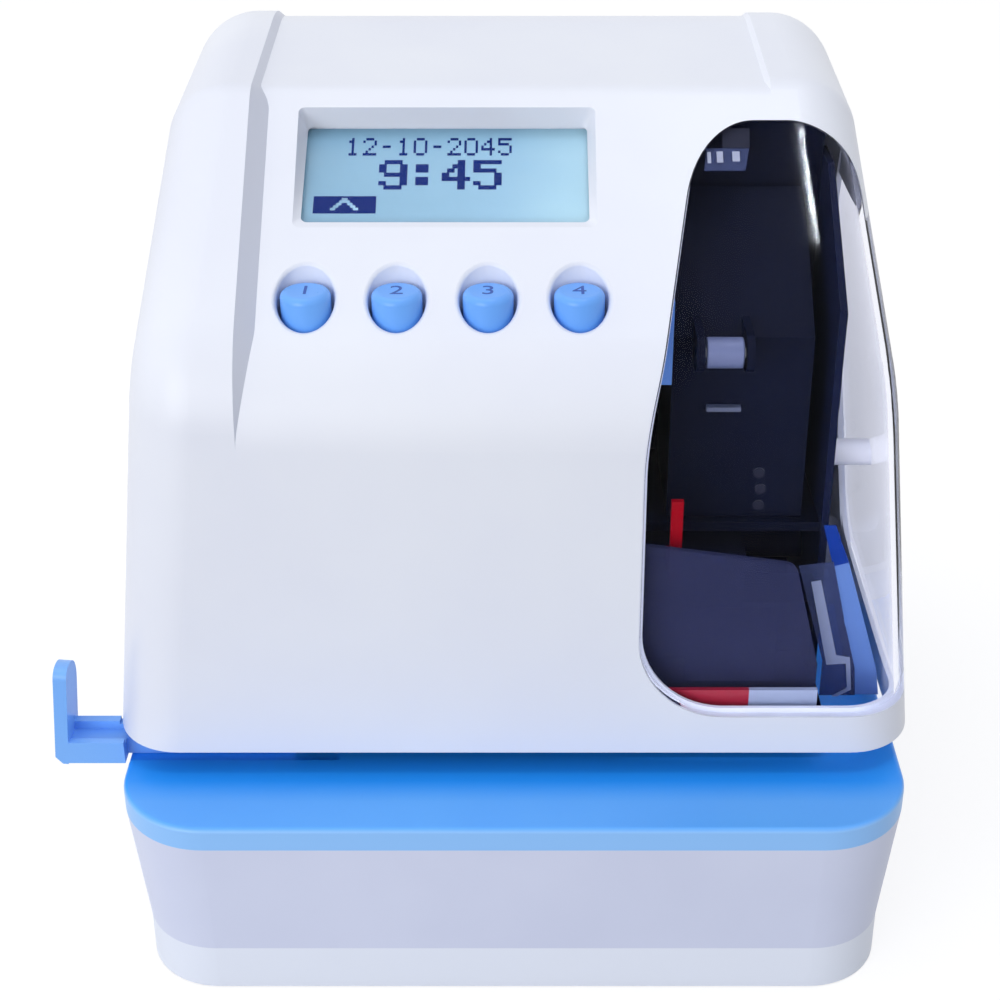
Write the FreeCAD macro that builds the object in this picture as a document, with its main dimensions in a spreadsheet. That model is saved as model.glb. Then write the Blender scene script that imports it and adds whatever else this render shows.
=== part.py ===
import FreeCAD, Part
import math
import os
import re
from types import SimpleNamespace

from FreeCAD import Placement, Rotation, Vector

# Date and time stamp machine, in millimetres.
# X is to the right, Y is to the back, Z is up. The origin is on the desk, under the middle of the base.
# Places that end in _y are measured from the front edge of the upper housing, unless their note
# says otherwise.

# Driving sizes: name, size, what it is.
SIZES = (
    ("base_width", 148.6, "base skirt, side to side"),
    ("base_depth", 163.0, "base skirt, front to back"),
    ("base_height", 36.9, "desk to the base's deck"),
    ("base_flare", 2.6, "how far the base's top edge stands out past its skirt"),
    ("base_corner", 15.0, "corner radius of the skirt"),
    ("base_wall", 2.6, "wall and deck of the base"),
    ("skirt_height", 10.0, "height of the upright skirt"),
    ("plate_rise", 1.6, "desk to the steel bottom plate, and height of the feet"),
    ("plate_thickness", 1.2, "steel bottom plate"),
    ("plate_play", 0.3, "gap round the bottom plate"),
    ("foot_radius", 7.0, "rubber foot"),
    ("foot_inset_x", 22.3, "feet in from the sides of the skirt"),
    ("foot_inset_y", 21.5, "feet in from the front and back of the skirt"),
    ("post_radius", 4.0, "screw post inside the base"),
    ("post_inset_x", 14.3, "screw posts in from the sides of the skirt"),
    ("post_inset_y", 35.5, "screw posts in from the front and back of the skirt"),
    ("screw_radius", 1.5, "screw shaft"),
    ("screw_play", 0.1, "screw shaft to its hole"),
    ("screw_length", 9.0, "screw under its head"),
    ("head_radius", 2.8, "screw head"),
    ("head_height", 1.2, "screw head"),
    ("table_thickness", 5.0, "paper table"),
    ("table_round", 1.0, "rounding of the table's upper edge"),
    ("table_play", 0.3, "table to the back of the throat"),
    ("platen_end", 4.0, "print opening past each end of the rubber platen"),
    ("platen_width", 9.0, "rubber platen, front to back"),
    ("platen_depth", 2.5, "rubber platen, let into the table"),
    ("throat_gap", 5.0, "height of the paper throat"),
    ("throat_depth", 64.0, "depth of the paper throat"),
    ("setback_y", 15.0, "housing's front edge behind the front of the skirt"),
    ("housing_past", 4.6, "housing's lower edge past each side of the skirt"),
    ("housing_back", 2.0, "housing's lowest back edge ahead of the back of the skirt"),
    ("housing_wall", 3.0, "housing wall"),
    ("side_lean", 6.0, "degrees that the sides lean in"),
    ("front_lean", 4.0, "degrees that the front leans back"),
    ("face_height", 75.4, "height of the front face"),
    ("panel_slope", 37.0, "degrees of the control panel from level"),
    ("panel_length", 66.8, "control panel along its slope"),
    ("top_slope", 4.0, "degrees of the top from level"),
    ("top_length", 64.1, "top along its slope"),
    ("side_round", 13.0, "rounding between the sides and all else"),
    ("face_round", 25.0, "rounding between front face and panel"),
    ("crest_round", 6.0, "rounding between panel and top"),
    ("rear_round", 30.0, "rounding between top and back"),
    ("edge_near", 0.2, "how near an edge lies to the face that it is picked by"),
    ("panel_step", 2.8, "how far the left cheek stands above the panel"),
    ("left_top_step", 1.2, "how far the left cheek stands above the top"),
    ("right_top_step", 0.8, "how far the right cheek stands above the top"),
    ("left_ridge_inset", 28.3, "upper edge of the left cheek's step, in from the housing's lower edge"),
    ("right_ridge_inset", 29.1, "upper edge of the right cheek's step, in from the housing's lower edge"),
    ("step_slant", 3.4, "sideways run of the sloped step at the panel"),
    ("lcd_middle_x", 12.9, "middle of the display, left of the middle"),
    ("lcd_width", 57.1, "display recess, side to side"),
    ("lcd_along", 27.0, "display recess along the panel"),
    ("lcd_corner", 1.2, "corner radius of the display recess"),
    ("lcd_low_along", 35.1, "panel's lower edge to the recess"),
    ("lcd_margin", 1.45, "sloped rim of the display recess"),
    ("lcd_top_drop", 4.5, "depth of the recess at its upper edge"),
    ("lcd_low_drop", 0.6, "depth of the recess at its lower edge"),
    ("lcd_collar", 2.2, "wall round the display recess"),
    ("lens_thickness", 1.2, "display lens"),
    ("lens_lap", 0.7, "how far the lens reaches past the recess floor"),
    ("lens_play", 0.1, "gap round the lens"),
    ("module_height", 5.0, "display module"),
    ("board_thickness", 1.6, "every circuit board"),
    ("board_margin", 1.0, "display board past its collar"),
    ("button_pitch", 16.8, "button to button"),
    ("button_first_x", 38.3, "first button, left of the middle"),
    ("button_along", 20.5, "panel's lower edge to the button axes"),
    ("button_radius", 4.7, "button"),
    ("button_rise", 0.9, "button top above the panel at its axis"),
    ("button_length", 16.5, "button and stem"),
    ("button_round", 1.3, "rounding of the button's top edge"),
    ("button_travel", 1.5, "travel of a button"),
    ("flange_radius", 6.4, "flange that keeps a button in"),
    ("flange_height", 1.4, "flange that keeps a button in"),
    ("ring_radius", 5.1, "guide ring of a button, inside its tube"),
    ("ring_height", 5.0, "guide ring of a button"),
    ("hole_radius", 5.35, "button hole"),
    ("hole_round", 0.9, "rounding of the hole's edge"),
    ("tube_wall", 1.4, "wall of the tube that guides a button"),
    ("flange_play", 0.4, "flange to the end of its tube at rest"),
    ("switch_side", 6.0, "tact switch"),
    ("switch_body", 2.4, "tact switch without its stem"),
    ("switch_stem_radius", 1.7, "stem of a tact switch"),
    ("switch_height", 3.4, "tact switch with its stem"),
    ("switch_play", 0.3, "pressed button to its switch"),
    ("keypad_width", 62.0, "keypad board"),
    ("keypad_depth", 19.0, "keypad board"),
    ("keypad_front", 8.0, "front of the keypad board ahead of the button axes"),
    ("keypad_post_radius", 2.8, "post that carries the keypad board"),
    ("keypad_post_back", 7.6, "post behind the button axes"),
    ("window_left", 23.8, "window's left edge, right of the middle"),
    ("window_sill", 8.0, "window above the housing's lower edge"),
    ("window_head_drop", 4.6, "window's upper edge below the crest"),
    ("window_bend_drop", 9.0, "bend of the left edge below the panel"),
    ("window_head_left", 35.2, "upper left corner of the window, right of the middle"),
    ("window_shoulder_inset", 12.9, "upper right corner, in from the housing's lower edge"),
    ("window_foot_inset", 11.7, "foot of that corner, in from the same edge"),
    ("window_side_drop", 16.0, "side part of the upper edge, below the rest of it"),
    ("window_corner", 17.0, "lower left corner of the window"),
    ("window_bend_round", 70.0, "bend of the left edge"),
    ("window_head_flat", 1.4, "round of the upper left corner, short of half the upper edge"),
    ("window_shoulder_flat", 0.9, "round of the upper right corner, short of half the upper edge"),
    ("window_foot_round", 0.8, "foot of the upper right corner"),
    ("window_side_y", 78.0, "how far back the window reaches on the side"),
    ("window_rear_round", 20.0, "bend of the window's back edge on the side"),
    ("window_rear_drop", 12.6, "that bend below the side part of the upper edge"),
    ("window_rear_run", 9.6, "how far the back edge leans forward over that height"),
    ("window_low_round", 10.0, "lower back corner on the side"),
    ("cover_thickness", 2.0, "clear cover"),
    ("cover_gap", 0.25, "clear cover to the housing"),
    ("cover_seat", 0.2, "clear cover to the ledge behind it"),
    ("ledge_width", 0.8, "ledge that the clear cover rests on"),
    ("catch_radius", 2.6, "catch inside the clear cover"),
    ("catch_gap", 0.8, "catch to the chassis side plate"),
    ("catch_length", 14.0, "catch, longer than the space that it is cut to"),
    ("catch_y", 36.5, "catch behind the front edge"),
    ("catch_drop", 27.8, "catch below the panel's lower edge"),
    ("fence_past", 14.7, "foot of the paper fence past the table's left edge"),
    ("fence_lean", 5.0, "degrees that the fence leans in"),
    ("fence_thickness", 2.6, "paper fence"),
    ("fence_height", 21.1, "paper fence above the table"),
    ("fence_depth", 9.7, "paper fence, front to back"),
    ("fence_round", 7.5, "upper back corner of the fence"),
    ("fence_nose", 2.0, "upper front corner of the fence"),
    ("fence_chamfer", 1.5, "lower outer edge of the fence"),
    ("arm_y", 4.4, "front of the guide arm"),
    ("arm_height", 4.9, "guide arm"),
    ("arm_depth", 8.4, "guide arm, front to back"),
    ("arm_reach", 32.9, "inner end of the guide arm from the table's left edge"),
    ("arm_step_past", 0.7, "full depth of the arm ends short of the table's left edge"),
    ("arm_step_depth", 3.4, "front of the arm set back over the table"),
    ("rib_height", 0.7, "rib along the back of the guide arm"),
    ("rib_thickness", 1.9, "rib along the back of the guide arm"),
    ("rib_past", 2.5, "inner end of that rib past the table's left edge"),
    ("floor_drop", 1.2, "how far the arm's floor lies below its front edge"),
    ("lip_thickness", 1.6, "front edge of the guide arm"),
    ("channel_depth", 1.0, "channel of the table that the arm slides in"),
    ("channel_play", 0.12, "arm to the sides of its channel"),
    ("guide_in", 9.0, "how far the guide slides in"),
    ("guide_play", 0.1, "guide arm above the channel's floor"),
    ("plate_lift", 0.3, "throat plate above the housing's lower edge"),
    ("throat_plate_thickness", 1.6, "plate over the throat"),
    ("throat_plate_past", 6.0, "throat plate past the left side plate"),
    ("throat_plate_y", 5.0, "front of the throat plate"),
    ("throat_plate_depth", 58.6, "throat plate, front to back"),
    ("slot_y", 31.0, "print opening behind the front edge"),
    ("slot_depth", 13.0, "print opening, front to back"),
    ("slot_length", 60.0, "print opening"),
    ("slot_end", 6.5, "right end of the print opening to the side plate"),
    ("sensor_x", 24.0, "left end of the paper sensor, left of the middle"),
    ("sensor_y", 50.0, "front of the paper sensor"),
    ("sensor_width", 9.0, "paper sensor"),
    ("sensor_depth", 6.0, "paper sensor, front to back"),
    ("sensor_height", 5.0, "paper sensor"),
    ("marker_thickness", 1.0, "print area marker"),
    ("marker_height", 9.6, "print area marker"),
    ("marker_inset", 0.6, "red marker to the window's left edge"),
    ("marker_length", 21.6, "red marker"),
    ("marker_end", 1.1, "grey marker to the side plate"),
    ("shield_y", 9.0, "smoked shield behind the front edge"),
    ("shield_thickness", 1.2, "smoked shield"),
    ("shield_past", 1.4, "smoked shield past the window's left edge"),
    ("shield_left_rise", 40.2, "shield above the throat plate at its left end"),
    ("shield_end", 0.9, "lower right corner of the shield to the side plate"),
    ("shield_slant", 5.6, "sideways run of the shield's right edge"),
    ("shield_right_rise", 35.6, "shield above the throat plate at that corner"),
    ("shield_low_rise", 13.0, "shield above the throat plate at that corner"),
    ("shield_round", 3.0, "rounding of the shield's upper right corner"),
    ("bay_past", 3.8, "ribbon bay past the window's left edge"),
    ("bay_wall", 2.0, "wall of the ribbon bay"),
    ("bay_front_y", 25.0, "front of the ribbon bay's floor"),
    ("bay_back_y", 56.0, "back wall of the ribbon bay"),
    ("bay_clear", 0.5, "ribbon bay to the inside of the housing"),
    ("bay_lift", 36.0, "bay's left wall above the throat plate"),
    ("side_plate_inset", 18.4, "inner faces of the side plates, in from the housing's lower edge"),
    ("steel_thickness", 1.5, "chassis plates"),
    ("side_plate_y", 23.0, "front edge of the side plates"),
    ("side_plate_height", 101.0, "side plates above the throat plate"),
    ("rear_plate_y", 60.0, "chassis rear plate"),
    ("rear_plate_height", 74.0, "rear plate above the throat plate"),
    ("flange_depth", 22.0, "flange at the foot of the rear plate"),
    ("pillar_inset", 20.5, "chassis pillars to the side plates"),
    ("pillar_width", 12.0, "chassis pillar"),
    ("pillar_depth", 12.0, "chassis pillar, front to back"),
    ("pillar_y", 69.0, "front of the chassis pillars"),
    ("shaft_radius", 3.0, "guide shaft"),
    ("shaft_play", 0.0, "guide shaft to its holes"),
    ("shaft_rise", 19.0, "guide shafts above the throat plate"),
    ("shaft_front_y", 28.0, "front guide shaft"),
    ("shaft_back_y", 46.0, "back guide shaft"),
    ("carriage_inset", 24.5, "middle of the carriage at rest to the right side plate"),
    ("carriage_width", 20.0, "print carriage"),
    ("carriage_y", 22.0, "front of the carriage"),
    ("carriage_depth", 30.0, "print carriage, front to back"),
    ("carriage_lift", 6.0, "carriage above the throat plate"),
    ("carriage_height", 24.0, "print carriage"),
    ("carriage_play", 0.05, "carriage bores to the guide shafts"),
    ("head_width", 11.0, "print head"),
    ("head_depth", 9.0, "print head, front to back"),
    ("nose_width", 5.0, "nose of the print head"),
    ("nose_height", 2.0, "nose of the print head"),
    ("nose_lift", 1.0, "nose above the throat plate"),
    ("pointer_y", 13.0, "red pointer behind the front edge"),
    ("pointer_width", 2.3, "red pointer"),
    ("pointer_thickness", 1.2, "red pointer"),
    ("pointer_height", 17.2, "red pointer above the carriage"),
    ("pointer_clear", 1.5, "pointer to the wall above it"),
    ("pointer_offset", 4.9, "pointer left of the carriage's middle"),
    ("pulley_radius", 9.0, "toothed pulley"),
    ("pulley_width", 4.4, "toothed pulley"),
    ("pulley_y", 53.0, "front of the pulleys"),
    ("pulley_flange", 0.8, "flange of a pulley"),
    ("pulley_teeth", 28, "teeth on a pulley"),
    ("tooth_depth", 0.5, "pulley tooth"),
    ("belt_gap", 0.3, "belt to everything that moves beside it"),
    ("belt_thickness", 1.0, "toothed belt"),
    ("drive_inset", 12.5, "motor axis to the left side plate"),
    ("idler_inset", 13.5, "idler axis to the right side plate"),
    ("axle_radius", 1.5, "motor shaft and idler axle"),
    ("axle_play", 0.05, "motor shaft and idler axle to their holes"),
    ("pulley_lead", 0.6, "axle ahead of its pulley"),
    ("shaft_tail", 5.0, "motor shaft inside the motor"),
    ("motor_radius", 12.5, "carriage motor"),
    ("motor_length", 15.0, "carriage motor"),
    ("clamp_width", 9.0, "belt clamp on the carriage"),
    ("clamp_height", 2.6, "belt clamp on the carriage"),
    ("clamp_root", 2.0, "how far clamp and pointer lap the carriage"),
    ("cassette_inset", 6.4, "ribbon cassette to the window's left edge"),
    ("cassette_end", 3.5, "ribbon cassette to the right side plate"),
    ("cassette_y", 27.0, "front of the ribbon cassette"),
    ("cassette_back_y", 54.0, "back of the ribbon cassette"),
    ("cassette_seat", 0.3, "cassette to the floor of its bay"),
    ("cassette_clear", 9.0, "cassette to the inside of the housing"),
    ("ear_thickness", 1.5, "ears that carry the ribbon knob"),
    ("ear_radius", 3.6, "ears that carry the ribbon knob"),
    ("ear_root", 4.0, "how far the ears reach into the cassette"),
    ("ear_play", 0.4, "ribbon knob to its ears"),
    ("knob_y", 22.0, "ribbon knob's axis"),
    ("knob_rise", 74.0, "ribbon knob's axis above the throat plate"),
    ("knob_inset", 5.7, "left end of the ribbon knob to the left side of the cassette"),
    ("knob_length", 7.0, "ribbon knob"),
    ("knob_radius", 2.9, "ribbon knob"),
    ("knob_round", 0.4, "rounding of the ribbon knob's rims"),
    ("spindle_radius", 1.2, "spindle of the ribbon knob"),
    ("spindle_play", 0.05, "spindle to its ears"),
    ("bar_height", 0.9, "pale bar on the cassette"),
    ("bar_length", 6.6, "pale bar on the cassette"),
    ("bar_shift", 1.1, "left end of the pale bar to the ribbon knob's"),
    ("bar_rise", 60.0, "pale bar above the throat plate"),
    ("bar_depth", 1.5, "pale bar on the cassette"),
    ("tab_length", 7.4, "blue tab"),
    ("tab_height", 17.0, "blue tab"),
    ("tab_rise", 65.0, "blue tab above the throat plate"),
    ("tab_thickness", 2.2, "blue tab"),
    ("tab_round", 3.0, "rounded corner of the blue tab"),
    ("ribbon_width", 8.0, "ink ribbon"),
    ("ribbon_thickness", 0.2, "ink ribbon"),
    ("ribbon_lap", 4.0, "ribbon past each end of the print opening"),
    ("mainboard_width", 100.0, "main board"),
    ("mainboard_height", 44.0, "main board"),
    ("mainboard_rise", 30.0, "main board above the throat plate"),
    ("spacer_length", 20.0, "spacers that carry the main board"),
    ("spacer_radius", 2.6, "spacers that carry the main board"),
    ("spacer_inset", 5.0, "spacer axis from the board's edges"),
    ("cell_radius", 10.0, "backup battery"),
    ("cell_height", 4.5, "backup battery"),
    ("buzzer_radius", 6.0, "buzzer"),
    ("buzzer_height", 6.0, "buzzer"),
    ("chip_side", 14.0, "processor"),
    ("chip_height", 1.6, "processor"),
    ("parts_x", 28.0, "battery and buzzer from the middle"),
    ("inlet_x", 38.0, "power inlet from the middle"),
    ("inlet_clear", 0.7, "upper edge of the power inlet to the inside of the back"),
    ("inlet_width", 10.0, "power inlet"),
    ("inlet_height", 11.0, "power inlet"),
    ("inlet_depth", 13.0, "power inlet body, front to back"),
    ("inlet_nose_radius", 4.2, "power inlet's nose"),
    ("inlet_nose_length", 4.5, "power inlet's nose"),
    ("inlet_bore_radius", 2.8, "power inlet's bore"),
    ("inlet_bore_depth", 9.5, "power inlet's bore"),
    ("inlet_pin_radius", 1.05, "power inlet's pin"),
    ("inlet_pin_length", 9.0, "power inlet's pin"),
    ("inlet_play", 0.2, "power inlet's nose to its hole"),
    ("boss_radius", 5.4, "housing bosses"),
    ("boss_inset", 8.3, "housing bosses, in from the housing's lower edge"),
    ("boss_front_y", 80.0, "front pair of housing bosses"),
    ("boss_back_inset", 20.0, "back pair of housing bosses to the housing's lowest back edge"),
    ("boss_height", 16.0, "housing bosses"),
    ("cut_overrun", 5.0, "how far every cut runs past the solid"),
)

doc = FreeCAD.newDocument("date_time_stamp")
sheet = doc.addObject("Spreadsheet::Sheet", "sheet")
s = SimpleNamespace()
nodes = {}


def put(alias, number, note=""):
    """Writes one named size into the sheet, and keeps it for the forms that are worked out here."""
    row = len(vars(s)) + 1
    sheet.set(f"A{row}", alias)
    sheet.set(f"B{row}", repr(round(number, 6)))
    sheet.set(f"C{row}", note)
    sheet.setAlias(f"B{row}", alias)
    setattr(s, alias, number)
    return number


for alias, number, note in SIZES:
    put(alias, number, note)

# Sizes that follow from the driving ones.
sin, cos, tan = (
    lambda degrees, f=f: f(math.radians(degrees)) for f in (math.sin, math.cos, math.tan)
)
put("front_y", s.setback_y - s.base_depth / 2, "housing's front edge, from the origin")
put("housing_depth", s.base_depth - s.setback_y - s.housing_back, "housing at its lowest back edge")
put("table_top", s.base_height + s.table_thickness, "top of the paper table")
put("table_half", s.base_width / 2 + s.base_flare, "sides of the paper table from the middle")
put("housing_width", s.base_width + 2 * s.housing_past, "housing at its lower edge")
put("housing_low", s.table_top + s.throat_gap, "housing's lower edge")
put("face_top_y", s.face_height * tan(s.front_lean), "panel's lower edge")
put("face_top", s.housing_low + s.face_height, "panel's lower edge, height")
put("crest_y", s.face_top_y + s.panel_length * cos(s.panel_slope), "crest")
put("crest_top", s.face_top + s.panel_length * sin(s.panel_slope), "crest, height")
put("back_y", s.crest_y + s.top_length * cos(s.top_slope), "upper back edge")
put("back_top", s.crest_top + s.top_length * sin(s.top_slope), "upper back edge, height")
put("back_slant", (s.housing_depth - s.back_y) / (s.back_top - s.base_height), "lean of the back")
put("back_wall", s.housing_wall * math.hypot(1, s.back_slant), "wall of the back, measured level")
put("throat_back", s.front_y + s.throat_depth, "back of the throat, from the origin")
put("plate_low", s.housing_low + s.plate_lift, "underside of the throat plate")
put("plate_top", s.plate_low + s.throat_plate_thickness, "top of the throat plate")
put("shaft_z", s.plate_top + s.shaft_rise, "guide shafts and pulleys, height")
put("carriage_top", s.plate_top + s.carriage_lift + s.carriage_height, "top of the carriage")
put("button_y", s.front_y + s.face_top_y + s.button_along * cos(s.panel_slope), "button axes")
put("button_top", s.face_top + s.button_along * sin(s.panel_slope) + s.button_rise, "button tops")
put("button_low", s.button_top - s.button_length, "undersides of the buttons")
put("tube_low", s.button_low + s.flange_height + s.flange_play, "lower ends of the button tubes")
put("switch_top", s.button_low - s.button_travel - s.switch_play, "tops of the tact switches")
put("keypad_top", s.switch_top - s.switch_height, "top of the keypad board")
put("left_ridge_x", s.housing_width / 2 - s.left_ridge_inset, "upper edge of the left step")
put("right_ridge_x", s.housing_width / 2 - s.right_ridge_inset, "upper edge of the right step")
put("side_plate_x", s.housing_width / 2 - s.side_plate_inset, "inner faces of the side plates")
put("slot_left_x", s.side_plate_x - s.slot_end - s.slot_length, "left end of the print opening")
put("platen_length", s.slot_length - 2 * s.platen_end, "rubber platen along the print line")
put("marker_right_x", s.side_plate_x - s.marker_end, "right end of the grey marker")
put("shield_low_x", s.side_plate_x - s.shield_end, "lower right corner of the shield")
put("shield_right_x", s.shield_low_x - s.shield_slant, "upper right corner of the shield")
put("drive_x", s.side_plate_x - s.drive_inset, "motor axis, left of the middle")
put("idler_x", s.side_plate_x - s.idler_inset, "idler axis, right of the middle")
put("pillar_x", s.side_plate_x - s.pillar_inset, "chassis pillars from the middle")
put("window_shoulder_x", s.housing_width / 2 - s.window_shoulder_inset, "upper right corner")
put("window_head_half", (s.window_shoulder_x - s.window_head_left) / 2, "half of the upper edge")
put("window_head_round", s.window_head_half - s.window_head_flat, "upper left corner")
put("window_shoulder_round", s.window_head_half - s.window_shoulder_flat, "upper right corner")
put("marker_left_x", s.window_left + s.marker_inset, "left end of the red marker")
put("marker_join_x", s.marker_left_x + s.marker_length, "where the red marker meets the grey one")
put("shield_left_x", s.window_left - s.shield_past, "left end of the smoked shield")
put("bay_left_x", s.window_left - s.bay_past, "left wall of the ribbon bay")
put("cassette_left_x", s.window_left + s.cassette_inset, "left face of the ribbon cassette")
put("knob_left_x", s.cassette_left_x + s.knob_inset, "left end of the ribbon knob")
put("tab_left_x", s.cassette_left_x - s.tab_length, "left end of the blue tab")
put("cassette_right_x", s.side_plate_x - s.cassette_end, "right face of the ribbon cassette")
put("carriage_x", s.side_plate_x - s.carriage_inset, "middle of the carriage at rest")
put("boss_x", s.housing_width / 2 - s.boss_inset, "housing bosses from the middle")
put("boss_back_y", s.housing_depth - s.boss_back_inset, "back pair of housing bosses")
put("inlet_back", s.back_wall + s.inlet_height * s.back_slant + s.inlet_clear, "inlet to the back edge")
put("inlet_y", s.housing_depth - s.inlet_back, "front of the inlet's nose")
put("arm_inner_x", s.table_half - s.arm_reach, "inner end of the guide arm, left of the middle")
put("fence_x", s.table_half + s.fence_past, "foot of the paper fence, left of the middle")
put("rib_inner_x", s.table_half + s.rib_past, "inner end of the arm's rib, left of the middle")
put("idler_length", s.pulley_lead + s.rear_plate_y + s.steel_thickness - s.pulley_y, "idler axle")
doc.recompute()


def link(words):
    """An expression on the sheet's cells, from one that names them alone."""
    return re.sub(r"\b[a-z]+(?:_[a-z0-9]+)+\b", lambda m: "sheet." + m.group(0), words)


def place(made, at, turn=None):
    if turn:
        made.Placement = Placement(Vector(), turn)
    for axis, words in zip("xyz", at):
        made.setExpression(f"Placement.Base.{axis}", link(words))
    return made


def box(name, size, at, turn=None):
    made = doc.addObject("Part::Box", name)
    for side, words in zip(("Length", "Width", "Height"), size):
        made.setExpression(side, link(words))
    return place(made, at, turn)


def slab(name, size, middle, low):
    """A box whose middle in X and Y and whose underside are given."""
    at = (f"{middle[0]} - ({size[0]}) / 2", f"{middle[1]} - ({size[1]}) / 2", low)
    return box(name, size, at)


TURNS = {
    "x": Rotation(Vector(0, 1, 0), 90),
    "y": Rotation(Vector(1, 0, 0), -90),
    "z": None,
}


def rod(name, radius, length, at, along="z"):
    made = doc.addObject("Part::Cylinder", name)
    made.setExpression("Radius", link(radius))
    made.setExpression("Height", link(length))
    return place(made, at, TURNS[along])


def formed(name, shape):
    made = doc.addObject("Part::Feature", name)
    made.Shape = shape
    return made


def join(name, *parts):
    made = doc.addObject("Part::MultiFuse", name)
    made.Shapes = list(parts)
    return made


def group(name, *parts):
    made = doc.addObject("Part::Compound", name)
    made.Links = list(parts)
    return made


def cut(name, base, *tools):
    made = doc.addObject("Part::Cut", name)
    made.Base = base
    made.Tool = tools[0] if len(tools) == 1 else join(name + "_tools", *tools)
    return made


def overlap(name, *parts):
    made = doc.addObject("Part::MultiCommon", name)
    made.Shapes = list(parts)
    return made


def node(label, made):
    """Marks a finished piece, under the name that its file gets."""
    made.Label = label
    nodes[label] = made
    return made


def rounded_wire(corners, rounds):
    """A closed outline through corners, each rounded with its own radius."""
    edges, ends = [], []
    count = len(corners)
    for i, corner in enumerate(corners):
        before = (corners[i - 1] - corner).normalize()
        after = (corners[(i + 1) % count] - corner).normalize()
        if not rounds[i]:
            ends.append((corner, None, corner))
            continue
        half = before.getAngle(after) / 2
        run = rounds[i] / math.tan(half)
        reach = rounds[i] / math.sin(half)
        inward = (before + after).normalize()
        top = corner + inward * (reach - rounds[i])
        ends.append((corner + before * run, top, corner + after * run))
    for i, (start, top, end) in enumerate(ends):
        if top:
            edges.append(Part.Arc(start, top, end).toShape())
        edges.append(Part.LineSegment(end, ends[(i + 1) % count][0]).toShape())
    return Part.Wire(edges)


def plan_outline(width, front, back, front_round, back_round, z):
    """A rounded rectangle seen from above, centred on X."""
    half = width / 2
    corners = [Vector(x, y, z) for x, y in ((-half, front), (half, front), (half, back), (-half, back))]
    return rounded_wire(corners, (front_round, front_round, back_round, back_round))


def side_solid(corners, rounds, low_x, high_x):
    """A solid whose outline is given in Y and Z, between two places along X."""
    wire = rounded_wire([Vector(low_x, y, z) for y, z in corners], rounds)
    return Part.Face(wire).extrude(Vector(high_x - low_x, 0, 0))


def front_solid(corners, rounds, low_y, high_y):
    """A solid whose outline is given in X and Z, between two places along Y."""
    wire = rounded_wire([Vector(x, low_y, z) for x, z in corners], rounds)
    return Part.Face(wire).extrude(Vector(0, high_y - low_y, 0))


# The housing's form


def meet(first, second):
    """Where two lines in Y and Z cross, each given as a point and a direction."""
    (p, d), (q, e) = first, second
    share = ((q.y - p.y) * e.z - (q.z - p.z) * e.y) / (d.y * e.z - d.z * e.y)
    return p + d * share


def shifted(y, z, direction, outward):
    """A line through a place behind the housing's front edge, moved square to itself."""
    return Vector(0, s.front_y + y, z) + Vector(0, -direction.z, direction.y) * outward, direction


def rising(degrees):
    return Vector(0, cos(degrees), sin(degrees))


def side_profile(inset, panel_up=0.0, top_up=0.0):
    """The corners of the housing's side view, from the low front round to the low back."""
    down = Vector(0, s.housing_depth - s.back_y, s.base_height - s.back_top).normalize()
    front = shifted(0, s.housing_low, rising(90 - s.front_lean), -inset)
    panel = shifted(s.face_top_y, s.face_top, rising(s.panel_slope), panel_up - inset)
    top = shifted(s.crest_y, s.crest_top, rising(s.top_slope), top_up - inset)
    rear = shifted(s.housing_depth, s.base_height, down, -inset)
    floor = (Vector(0, 0, form_floor(inset)), Vector(0, 1, 0))
    return [meet(floor, front), meet(front, panel), meet(panel, top), meet(top, rear), meet(rear, floor)]


def form_floor(inset):
    """The outside stands on the deck, and every smaller form runs past it."""
    return s.base_height - (s.cut_overrun if inset > 0 else 0)


def half_width(z, inset=0.0):
    return s.housing_width / 2 - inset - (z - s.housing_low) * tan(s.side_lean)


def housing_form(inset, panel_up=0.0, top_up=0.0):
    """The closed form of the housing, shrunk by an inset and with its panel and top raised."""
    corners = side_profile(inset, panel_up, top_up)
    reach = s.housing_width
    solid = Part.Face(Part.makePolygon(corners + corners[:1])).extrude(Vector(2 * reach, 0, 0))
    solid.translate(Vector(-reach, 0, 0))
    low, high = 0.0, s.crest_top + reach
    wedge = [(-half_width(low, inset), low), (half_width(low, inset), low)]
    wedge += [(half_width(high, inset), high), (-half_width(high, inset), high)]
    solid = solid.common(front_solid(wedge, (0, 0, 0, 0), -reach, reach + s.housing_depth))
    solid = solid.removeSplitter()
    crest = s.crest_round + max(panel_up, top_up)
    rounds = (s.face_round - inset, crest, s.rear_round - inset)
    for corner, radius in zip(corners[1:4], rounds):
        edge = min(solid.Edges, key=lambda e: (e.CenterOfMass - corner).Length)
        solid = solid.makeFillet(radius, [edge])
    along = [e for e in solid.Edges if runs_along_side(e, inset)]
    return solid.makeFillet(s.side_round - inset, along)


def runs_along_side(edge, inset):
    """True for an edge of a leaning side, but not for its lower edge."""
    where = edge.valueAt((edge.FirstParameter + edge.LastParameter) / 2)
    off = abs(abs(where.x) - half_width(where.z, inset))
    rise = max(v.Point.z for v in edge.Vertexes) - form_floor(inset)
    return off < s.edge_near and rise > s.edge_near


def cheek_region(side, ridge_x, panel_up, top_up):
    """The space outside a sloped step, whose upper edge keeps one distance from the middle."""
    slant = s.step_slant / s.panel_step
    outlines = []
    for inset in (max(panel_up, top_up) + s.housing_wall / 2, -s.cut_overrun):
        crest = s.crest_round + max(panel_up, top_up)
        rounds = (0, s.face_round - inset, crest, s.rear_round - inset, 0)
        outline = rounded_wire(side_profile(inset, panel_up, top_up), rounds)
        outline.translate(Vector(side * (ridge_x - slant * inset), 0, 0))
        outlines.append(outline)
    step = Part.makeLoft(outlines, True, True)
    return step.fuse(Part.Face(outlines[1]).extrude(Vector(side * s.housing_width, 0, 0)))


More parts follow.
